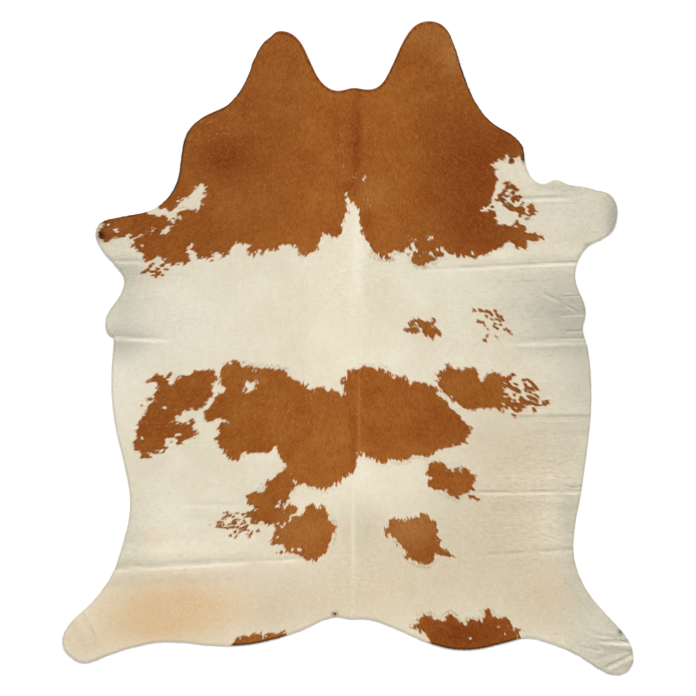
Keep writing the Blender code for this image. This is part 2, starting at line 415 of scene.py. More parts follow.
def fold_height(fold, x, y):
    """The two swells of a fold, which meet the floor in the crease between them."""
    across, fade = beside_fold(fold, x, y)
    swell = np.where(across > 0.0, fold.neck_swell, fold.tail_swell)
    reach = np.where(across > 0.0, fold.neck_reach, fold.tail_reach)
    share = np.clip(np.abs(across) / reach, 0.0, 1.0)
    return swell * CREASE_PEAK * share * (1.0 - share) ** 2 * fade


def spine_height(x, y):
    """The low ridge of the backbone."""
    share = np.clip(np.abs(x - SPINE_X) / SPINE_REACH, 0.0, 1.0)
    to_end = np.minimum(y - SPINE_TAIL, SPINE_NECK - y)
    return SPINE_HEIGHT * (1.0 - share**2) ** 2 * ease(to_end / SPINE_FADE)


def swell_height(swell, x, y):
    """A broad round swell."""
    across = (x - swell.x) / swell.half_width
    along = (y - swell.y) / swell.half_length
    return swell.height * np.clip(1.0 - across**2 - along**2, 0.0, None) ** 2


def curl_height(curl, x, y):
    """A leg's end or side that has left the floor."""
    towards = np.array(curl.towards) / np.hypot(*curl.towards)
    right = x - curl.start[0]
    up = y - curl.start[1]
    beyond = (right * towards[0] + up * towards[1]) / curl.run
    beside = np.abs(towards[0] * up - towards[1] * right) / curl.half_stretch
    return curl.height * ease(beyond) * ease(2.0 - 2.0 * beside)


def crinkle_height(x, y):
    """Thin skin near the cut dries in small cross wrinkles."""
    height = np.zeros_like(x)
    for crinkle in CRINKLES:
        off = ((x - crinkle.x) / crinkle.half_width) ** 2 + ((y - crinkle.y) / crinkle.half_length) ** 2
        height = height + crinkle.height * np.exp(-off)
    return height * (0.5 + 0.5 * ripple(CRINKLE_DRAW * x, y, CRINKLE_SIZE, CRINKLE_SEED))


def underside(x, y):
    """The height of the leather's underside above the floor."""
    height = spine_height(x, y) + crinkle_height(x, y)
    for fold in FOLDS + WRINKLES:
        height = height + fold_height(fold, x, y)
    for swell in SWELLS:
        height = height + swell_height(swell, x, y)
    for curl in CURLS:
        height = height + curl_height(curl, x, y)
    return height


print("height in the left middle fold:", underside(np.array([-0.75]), np.array([0.07])).round(4))

# %% [markdown]
# ## Cut line and charts
#
# The knife went once around the hide. The solid's rim holds that line as short straight pieces, so
# they are walked in order and rounded again. To know quickly how far any hair stands from the cut
# or from a patch of colour, those distances are worked out once on a fine square grid, a chart,
# and read between its lines later. Testing every hair against every stretch of outline would give
# the same answer, much more slowly.

# %% Closed lines


def even_line(points, spacing):
    """A closed line, with a point about every spacing along it."""
    closed = np.vstack([points, points[:1]])
    run = np.concatenate([[0.0], np.cumsum(np.hypot(*np.diff(closed, axis=0).T))])
    stops = np.linspace(0.0, run[-1], max(int(run[-1] / spacing), 8), endpoint=False)
    return np.column_stack([np.interp(stops, run, closed[:, 0]), np.interp(stops, run, closed[:, 1])])


def rounded_line(points, spacing, steps=6):
    """A smooth closed line through every point."""
    points = np.asarray(points, float)
    before = np.roll(points, 1, axis=0)
    after = np.roll(points, -1, axis=0)
    later = np.roll(points, -2, axis=0)
    parts = []
    for step in range(steps):
        t = step / steps
        parts.append(
            0.5
            * (
                2.0 * points
                + (after - before) * t
                + (2.0 * before - 5.0 * points + 4.0 * after - later) * t**2
                + (3.0 * points - before - 3.0 * after + later) * t**3
            )
        )
    return even_line(np.stack(parts, axis=1).reshape(-1, 2), spacing)


def rim_of(node):
    """The solid's lower rim, walked in order as (x, y) places."""
    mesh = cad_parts[node].data
    numbers = {}
    places = []
    sides = {}
    for face in mesh.polygons:
        ring = []
        for index in face.vertices:
            place = mesh.vertices[index].co
            key = tuple(round(part, 5) for part in place)
            if key not in numbers:
                numbers[key] = len(places)
                places.append((place.x, place.y))
            ring.append(numbers[key])
        side = "rim" if abs(face.normal.z) < 0.5 else "top" if face.normal.z > 0.0 else "under"
        for start, end in zip(ring, ring[1:] + ring[:1]):
            sides.setdefault(frozenset((start, end)), set()).add(side)
    beside = {}
    for edge, found in sides.items():
        if found == {"rim", "under"}:
            start, end = edge
            beside.setdefault(start, []).append(end)
            beside.setdefault(end, []).append(start)
    first = min(beside)
    walk = [first, beside[first][0]]
    while len(walk) < len(beside):
        ahead = [other for other in beside[walk[-1]] if other != walk[-2]]
        walk.append(ahead[0])
    return np.array([places[index] for index in walk])


RIM_SPACING = 0.012
CUT_SPACING = 0.0055
rim = even_line(rim_of("cowhide"), RIM_SPACING)
rim = (np.roll(rim, 1, axis=0) + 2.0 * rim + np.roll(rim, -1, axis=0)) / 4.0
cut_line = rounded_line(rim, CUT_SPACING)
print("cut line:", len(cut_line), "points")

# %% Charts of distance
CHART_STEP = 0.0025
CHART_MARGIN = 0.040
CHART_LINE = 0.0015
FAR = 0.040
chart_x = np.arange(low[0] - CHART_MARGIN, high[0] + CHART_MARGIN, CHART_STEP)
chart_y = np.arange(low[1] - CHART_MARGIN, high[1] + CHART_MARGIN, CHART_STEP)


def depth_inside(line, xs, ys):
    """How deep each crossing of a grid lies inside a closed line, below zero outside it."""
    tree = kdtree.KDTree(len(line))
    for index, (x, y) in enumerate(line):
        tree.insert((x, y, 0.0), index)
    tree.balance()
    find = tree.find
    gap = np.array([[find((x, y, 0.0))[2] for x in xs] for y in ys])
    inside = np.zeros(gap.shape, bool)
    for (x0, y0), (x1, y1) in zip(line, np.roll(line, -1, axis=0)):
        for row in np.nonzero((ys > min(y0, y1)) & (ys <= max(y0, y1)))[0]:
            inside[row] ^= xs > x0 + (ys[row] - y0) * (x1 - x0) / (y1 - y0)
    return np.where(inside, gap, -gap)


def window(centre_x, centre_y, half_width, half_height):
    """The rows and columns of the chart around a place."""
    columns = np.searchsorted(chart_x, (centre_x - half_width, centre_x + half_width))
    rows = np.searchsorted(chart_y, (centre_y - half_height, centre_y + half_height))
    return slice(*rows), slice(*columns)


def read_chart(chart, x, y):
    """A chart's value at any places, read between its lines."""
    column = np.clip((x - chart_x[0]) / CHART_STEP, 0.0, len(chart_x) - 1.001)
    row = np.clip((y - chart_y[0]) / CHART_STEP, 0.0, len(chart_y) - 1.001)
    left = column.astype(int)
    below = row.astype(int)
    right_share = column - left
    top_share = row - below
    lower = chart[below, left] * (1.0 - right_share) + chart[below, left + 1] * right_share
    upper = chart[below + 1, left] * (1.0 - right_share) + chart[below + 1, left + 1] * right_share
    return lower * (1.0 - top_share) + upper * top_share


edge_chart = depth_inside(even_line(cut_line, CHART_LINE), chart_x, chart_y)
print("chart:", edge_chart.shape, "deepest place:", edge_chart.max().round(3), "m from the cut")

# %% [markdown]
# ## Brown on cream
#
# The coat is cream with chestnut-brown patches. Their edges are what makes one hide differ from
# the next, so each patch is marked out as a tanner would chalk it, in centimetres from the middle of
# the rug. Only the turns of an outline are points, and the line between them is smooth.
# Patches that reach the cut are closed outside it. Noise could draw patches too, but never these.

# %% Patches marked out
CENTIMETRE = 0.01

BROWN_PATCHES = {
    "saddle, down the right shoulder": (
        (-90, 44), (-90, 115), (65, 115), (65, 63), (59.3, 62.5), (57.4, 64.2), (55.2, 63), (54.2, 64.2),
        (53.2, 65.2), (52.8, 63.5), (50.2, 62.5), (49, 61.5), (49.8, 60), (50.2, 56), (49.8, 54.5),
        (49, 52.5), (48.2, 49.5), (46.8, 47.2), (44.3, 46), (47.5, 45.9), (49.5, 45.8), (49.8, 44.5),
        (50.2, 41.8), (51.5, 40.7), (53, 41.2), (55, 40.8), (56.2, 42.2), (57.2, 43), (57.6, 41.5),
        (58.6, 41.3), (60, 40.3), (60, 38.8), (61.5, 38.6), (63, 38.9), (64, 38), (65.8, 37.7),
        (66, 36.3), (64.8, 36.6), (63, 35.4), (61.5, 36.2), (60.2, 35.7), (60.4, 34.2), (59.8, 32.8),
        (58.4, 33.5), (56.5, 33.5), (55.6, 35.2), (53.5, 35.2), (52, 34), (50, 32.8), (48.4, 32.6),
        (46.5, 31.4), (44.6, 31), (43, 30.2), (41, 30.3), (38.5, 30.6), (36, 31), (33.8, 31.6),
        (32.6, 32.6), (31.5, 33.4), (30.4, 33), (33, 31.8), (32, 31), (30, 30.6), (29.3, 29.2),
        (27.5, 28.8), (26, 28), (24.5, 27.6), (23, 28.2), (21.8, 29), (21.6, 30.2), (22.5, 33), (22.6, 36),
        (21.4, 34), (20.8, 31.5), (20.3, 33), (20, 34.2), (19, 33), (17.5, 32.2), (16, 32.5), (14.8, 32.1),
        (13.5, 31), (11.5, 30.6), (9.8, 31), (8.6, 32), (7.8, 33.6), (7.4, 35), (6.2, 36), (5.4, 37.5),
        (4.8, 38.8), (4.2, 40.2), (4, 42.5), (3.9, 44.5), (3.4, 46.5), (2.2, 48), (1, 49), (0.2, 50.5),
        (-0.4, 51.8), (-1, 51), (-0.8, 49.5), (-0.4, 48), (0, 46), (-0.2, 45.2), (-0.9, 44.8), (-1.4, 43),
        (-2, 41), (-2, 39.5), (-2.5, 38.5), (-3.8, 37.5), (-5.5, 37.3), (-7, 38), (-8.6, 37.6),
        (-9.3, 36.4), (-9.8, 35), (-10.2, 33), (-11.5, 32), (-13, 31.3), (-15.5, 31.4), (-17, 32),
        (-16.6, 34.3), (-18.8, 34.2), (-21.7, 34.6), (-23.5, 33.4), (-26, 32.9), (-28, 32.2), (-30, 31.9),
        (-32, 31.2), (-33.5, 31.8), (-34, 32.8), (-32.7, 33.8), (-33.5, 34.8), (-35.5, 34.9),
        (-37.5, 34.8), (-39, 34), (-40, 32.8), (-40.5, 31.5), (-42, 31), (-44, 31.5), (-46.3, 31.4),
        (-45.5, 30), (-47.3, 29.8), (-49.5, 30.3), (-50.5, 30.6), (-51.5, 32), (-52.5, 33), (-54.2, 33.3),
        (-53.4, 31.6), (-52.9, 30), (-53.3, 29), (-55, 28.2), (-57.5, 27.8), (-60, 28), (-61.8, 28.7),
        (-60.5, 29.4), (-62.5, 30), (-64, 31), (-65.2, 30.3), (-66, 29.4), (-67, 28.6), (-68.3, 28.8),
        (-69, 30.2), (-68, 31.5), (-70, 32.2), (-71, 33.5), (-72.8, 34.6), (-71.8, 35.8), (-72.8, 36.8),
        (-73.4, 38.1), (-75, 37.6), (-77, 37.4), (-78.5, 36.6), (-80, 35.9), (-82, 35.2), (-82.2, 36.4),
        (-83.7, 37.2), (-83.6, 38.8), (-82.3, 39.2), (-83.3, 39.9), (-81.6, 40.5), (-81.8, 41.6),
        (-82.4, 42.1), (-83, 43.4),
    ),
    "barrel": (
        (-43, -9.5), (-42.6, -8), (-41.8, -6.3), (-40, -5.2), (-38.6, -4.3), (-36.8, -4.7), (-35.3, -5.4),
        (-33.5, -5.9), (-32.3, -6.4), (-31.8, -7.7), (-31, -7.2), (-29.5, -6.8), (-27.5, -6.7),
        (-25.5, -7.1), (-23.5, -7), (-21.8, -7.4), (-20.6, -8.3), (-19.4, -9.8), (-18.2, -10.9),
        (-16.5, -11.5), (-15, -12.1), (-13.6, -12.7), (-13, -14.2), (-11.5, -13.9), (-10, -13.6),
        (-8.2, -13.6), (-7.2, -14.5), (-5.5, -14.5), (-3, -15), (-1.5, -16.3), (-2, -13), (-1.6, -11),
        (0, -8.5), (1.2, -6.8), (3.2, -7.5), (4.5, -6.4), (6, -6.3), (8, -6.5), (9.5, -7.3), (11, -6.9),
        (12.6, -7.3), (14, -8.2), (15.5, -9.2), (17.5, -9.5), (19.2, -9.9), (20.2, -11.3), (21, -12.6),
        (22, -11.6), (23.6, -11.4), (25, -11.7), (26.5, -12.1), (28, -12.5), (29.2, -13.2), (30.2, -14.8),
        (31.3, -16.4), (32.5, -18), (33.6, -19.4), (34.8, -20.6), (36.5, -21.8), (37.6, -23.2),
        (38.8, -24.8), (40.2, -26), (41.6, -27.2), (41.2, -28.8), (40, -30.2), (39.8, -31.8), (38.3, -32),
        (36.8, -32.8), (35, -33.4), (33.2, -33.8), (31.2, -34.2), (29.6, -34.8), (28.3, -36),
        (26.5, -36.6), (24, -36.3), (22, -36.2), (20.6, -37.3), (19.5, -38.1), (17.8, -38.3),
        (16.2, -37.5), (14, -38.2), (12.8, -39.2), (11.3, -38.8), (9.5, -38.2), (8, -37.4), (6.8, -36.6),
        (5.8, -35.6), (4.6, -36.1), (3.6, -35.6), (2.8, -37.5), (2.5, -39.3), (2.4, -41.8), (1.6, -42.8),
        (0.6, -41.6), (0, -42), (-1, -43.5), (-2.4, -44.8), (-4.2, -46.3), (-6.2, -47.3), (-8, -47.4),
        (-10.3, -47.1), (-12.5, -46.5), (-14.5, -45.8), (-16.2, -45.6), (-18, -46.4), (-24, -46),
        (-24.5, -43.2), (-22.6, -42.2), (-21.6, -40.8), (-21, -39), (-22.2, -37.5), (-23.3, -36),
        (-24, -34.2), (-24.6, -32.3), (-25.6, -34.8), (-28, -35.2), (-30.5, -35.6), (-33, -35.5),
        (-35, -35.3), (-36.2, -37), (-38.4, -38), (-40, -37), (-41, -35.5), (-42.8, -34.2),
        (-43.6, -32.5), (-44.3, -30.4), (-43.3, -28.8), (-44, -27.5), (-43, -26), (-41.5, -25),
        (-39.8, -25.1), (-41.5, -24.2), (-44, -24), (-46, -25.2), (-47.6, -24), (-48.4, -22.5),
        (-48, -21), (-46.5, -20.2), (-45.6, -18.5), (-44.5, -17), (-43.3, -15.6), (-41.5, -14.6),
        (-41.3, -13.4), (-42.6, -12.4), (-43.2, -10.8),
    ),
    "left flank": (
        (-44.6, -8), (-46, -7.6), (-48, -7.5), (-50, -7.6), (-51.5, -7.9), (-52, -8.6), (-53.5, -9.4),
        (-54.8, -9.1), (-56, -9.6), (-57, -9.6), (-57.8, -10.4), (-58.8, -10.8), (-58.6, -11.8),
        (-59.5, -12.4), (-60.6, -11.8), (-61, -10.6), (-62.2, -10), (-63, -9.2), (-64, -9.4), (-65, -9),
        (-65.8, -10.2), (-66, -11), (-65, -11.6), (-64, -12.2), (-63.7, -13.4), (-64.5, -14.8),
        (-65.2, -15.6), (-66.2, -16.4), (-67.3, -17.6), (-66, -17.9), (-65.4, -18.4), (-67, -19),
        (-69.2, -19.6), (-67.8, -20.2), (-67.8, -21.4), (-68.6, -22.8), (-69.4, -23.8), (-70.6, -24.8),
        (-70.8, -26), (-70.5, -27.2), (-71.6, -28.4), (-71, -29.6), (-71.4, -30.8), (-72.4, -31.6),
        (-72.2, -33), (-71.8, -34.4), (-70.8, -34.7), (-70, -34.6), (-69.7, -35.8), (-69, -37),
        (-68, -37.4), (-67, -36.4), (-66, -35.6), (-65, -35.2), (-63, -34.9), (-61.8, -34.2),
        (-61.3, -33), (-61.5, -31.6), (-60.8, -30.6), (-59.6, -30.2), (-58, -30.2), (-57, -31),
        (-58, -32.2), (-57.4, -33), (-56, -32.4), (-55, -31.6), (-53.5, -30.6), (-52, -30.2),
        (-51, -29.4), (-50.6, -28.4), (-51.4, -27.8), (-52.4, -27.4), (-52.2, -26.2), (-51.8, -24.6),
        (-53, -24.9), (-54.2, -25.4), (-55.4, -25.7), (-56.6, -25), (-57.9, -24.6), (-57.2, -23.8),
        (-55.6, -22.4), (-54.4, -21.2), (-52.5, -20.9), (-51, -21.2), (-50, -20.9), (-49.4, -20),
        (-48, -18.8), (-46.6, -17.8), (-45.4, -16.6), (-45, -15.4), (-45.8, -14.2), (-45.9, -13),
        (-45, -12.2), (-44.2, -11.2), (-43.6, -10.2), (-44.8, -9.4),
    ),
    "right ribs": (
        (30, -9), (30.4, -11.2), (30.2, -12.6), (31, -14.2), (32.8, -15.6), (34.3, -16.6), (35.8, -18),
        (37.3, -19.2), (39, -20.4), (41, -20.9), (43.2, -20.8), (45.2, -20), (47, -20.6), (48.8, -20.4),
        (51.2, -20.8), (52.2, -19.6), (51.8, -17.5), (52.8, -15), (51.8, -12.5), (52.6, -10.5),
        (51, -8.5), (49.5, -7.8), (48, -8.4), (47, -9.8), (45.5, -10.9), (44.4, -10.3), (43.8, -8.6),
        (42.6, -7.2), (41, -6.9), (39, -7.4), (37, -7.2), (35, -6.6), (33.5, -6.2), (32.3, -6.9),
        (30.8, -8),
    ),
    "small one on the ribs": (
        (19.3, 5.6), (20.5, 6.6), (21, 8.6), (22.6, 9.4), (24.2, 9.6), (25.8, 8.4), (27.2, 8.9),
        (28.8, 9.6), (29.3, 8), (29, 6.6), (30.6, 6.2), (31, 4.2), (29.5, 4), (28.6, 3.2), (27.2, 3.6),
        (25.8, 3.2), (25, 4.6), (23.4, 5.2), (21.5, 5.2),
    ),
    "right loin": (
        (26.8, -39.2), (28.5, -38.3), (30.6, -38.2), (32.4, -39), (33.2, -40.6), (34.6, -41),
        (36.4, -40.8), (37.6, -41.6), (38.6, -40.4), (40.2, -40.6), (41.6, -42), (43, -42.8),
        (43.2, -44.8), (41.9, -46.2), (42.3, -47.8), (40.6, -48.6), (38.8, -49.5), (37, -50.3),
        (35, -49.9), (33.4, -49.2), (32.2, -48), (30, -47.8), (28, -46.8), (27, -45.2), (27.6, -43.8),
        (26.2, -42.4), (27.2, -41),
    ),
    "right rump": (
        (12.4, -60.8), (13.6, -59.6), (14.4, -57.8), (16.5, -57.5), (18.8, -57.9), (21, -57.2),
        (23.5, -57), (25, -55.6), (26.8, -56.3), (28.2, -58), (29.8, -58), (29.6, -60), (30.5, -61.6),
        (30.3, -63.4), (31.5, -65), (30.8, -66.6), (32.6, -68), (35.6, -70.3), (33, -70.2), (30, -69.6),
        (28.8, -71.6), (27, -72.8), (24.5, -72.8), (22.6, -71.8), (21, -70.2), (20.2, -71.5),
        (19.3, -70.6), (19.6, -68.8), (18, -67.2), (16.8, -65.4), (15.5, -63.8), (13.5, -63),
        (12.6, -61.8),
    ),
    "left loin and rump": (
        (-21.5, -42.3), (-23, -43), (-25, -43.8), (-26.5, -44.8), (-27.7, -45.8), (-27.6, -46.6),
        (-28.2, -48.3), (-30, -48.8), (-32, -48.9), (-33.5, -49.2), (-33.6, -50.2), (-33, -51),
        (-33.9, -51.8), (-33, -52.4), (-32.4, -52.8), (-31.3, -53.3), (-30.4, -54), (-31.5, -54.6),
        (-33.2, -55), (-33.8, -55.6), (-33, -56.6), (-32.4, -57.2), (-33, -58), (-32.6, -58.6),
        (-32.6, -59.4), (-31.4, -59), (-30.6, -58.3), (-29.8, -59), (-29.2, -59.4), (-28.8, -58.4),
        (-27.6, -59.2), (-26.8, -59.7), (-25.5, -59.6), (-25, -59), (-24.6, -60.2), (-24.2, -61.2),
        (-24.8, -62.6), (-25.2, -63.6), (-25.8, -64.3), (-24.6, -64.6), (-25, -65.4), (-26.2, -65.8),
        (-24.6, -66), (-23.2, -65.9), (-22.2, -66.4), (-21.2, -67), (-20.4, -67.8), (-20.2, -68.6),
        (-19.4, -69.2), (-18.2, -69.4), (-17, -69.6), (-15.6, -69.8), (-14.6, -70.2), (-13.9, -71),
        (-13.2, -71.4), (-12.2, -71.1), (-11.4, -71.6), (-10.9, -72.4), (-10.3, -72.2), (-10, -71.2),
        (-9.2, -70.6), (-8.4, -69.8), (-7.4, -69.2), (-6.7, -68), (-6.5, -66.6), (-5.9, -65.4),
        (-5.3, -63.8), (-5.3, -62.4), (-4.8, -61), (-4.0, -60), (-4.7, -59), (-5.2, -58.4), (-6.3, -58),
        (-6.6, -57), (-6.6, -55.8), (-7.2, -54.8), (-7.8, -53.8), (-8.6, -52.9), (-9.2, -53.4),
        (-10.4, -53.9), (-11.4, -53), (-12.2, -52.8), (-13.4, -53.4), (-13.9, -54.4), (-14.8, -55.6),
        (-15.8, -56.6), (-17.2, -56.7), (-18.4, -56.4), (-17.6, -55.4), (-17.3, -54), (-17.9, -52.9),
        (-19, -52.6), (-20.4, -53.2), (-21.2, -54.2), (-21.4, -55.2), (-21.9, -54.2), (-22, -53),
        (-21.2, -52.2), (-20.2, -51.2), (-20, -50), (-19.3, -48.8), (-18.4, -47.8), (-17.9, -46.8),
        (-17, -46.2), (-16, -45.6), (-15, -43.5), (-18, -41),
    ),
    "left of the tail, on the cut": (
        (-39.4, -99.8), (-38, -98.4), (-36, -97.2), (-33.8, -96.8), (-31.6, -96.4), (-29.6, -96.2),
        (-28.2, -96.8), (-26.4, -95.8), (-24.2, -96.2), (-22.4, -95.6), (-21, -96.2), (-21, -103),
        (-39.5, -103),
    ),
    "right of the tail, on the cut": (
        (21.8, -93.8), (23.6, -92), (24.2, -90.6), (26.2, -90), (28.4, -90), (29.2, -91.2), (31, -91.4),
        (32.4, -92.2), (33.2, -90.2), (34.6, -89.4), (35.6, -90.4), (37.4, -91.6), (39.6, -92.8),
        (40.8, -91.4), (43, -91.2), (45.2, -91.6), (46.2, -89.6), (46, -88.4), (47.2, -87.6), (48, -89.2),
        (49.2, -90.4), (51, -91.2), (52.8, -90.6), (54.4, -91.4), (55, -93), (56.2, -94.4),
        (58.2, -94.2), (57.8, -95.6), (57, -96.6), (57.4, -97.6), (56, -103), (28, -103), (27.6, -98.9),
        (26.5, -97.4), (25.4, -96), (23.6, -95),
    ),
}

CREAM_ISLANDS = {
    "slash at the left elbow": (
        (-69, 47), (-67, 48.6), (-65, 48.4), (-64, 47.4), (-62.6, 46.5), (-61, 46.8), (-60.3, 45.8),
        (-59.4, 45.5), (-58.6, 46.8), (-57.8, 48.1), (-56.5, 49.4), (-55, 49.8), (-53.5, 50.6),
        (-52.5, 51.9), (-51.7, 53.3), (-50.6, 54.2), (-49.4, 54.6), (-48, 54.4), (-48.7, 53.2),
        (-48.1, 52.6), (-49.4, 52), (-47.6, 51.3), (-48.8, 50.4), (-49.6, 49), (-49.4, 47.6),
        (-50.1, 46.2), (-51.8, 46.6), (-53.5, 46), (-55, 46.4), (-56.5, 45.6), (-57.2, 44.8),
        (-57.8, 43.8), (-58.8, 42.2), (-59.8, 43.2), (-61, 44), (-62.6, 44.6), (-64.4, 44),
        (-65.3, 44.8), (-67.2, 45.4),
    ),
    "island": (
        (-62.6, 38.8), (-61.2, 38.5), (-60.2, 39.6), (-59.7, 40.7), (-61, 40.4), (-61.9, 39.6),
    ),
    "hole in the barrel": (
        (-35, -11.2), (-33.3, -11.6), (-31.4, -11.1), (-31.8, -13.3), (-33.5, -14.8), (-35.2, -14.3),
        (-34.4, -12.8),
    ),
}
print("patches:", len(BROWN_PATCHES), "islands:", len(CREAM_ISLANDS))

# %% [markdown]
# Around the big patches the brown breaks up into flecks, each a few locks long. A fleck is a small
# oval in centimetres: its place, half length, half width and slant in degrees. They are small and
# many, so they are plain rows. A few cream flecks break the brown in the same way.

# %% Flecks
Fleck = namedtuple("Fleck", "x y half_length half_width slant")

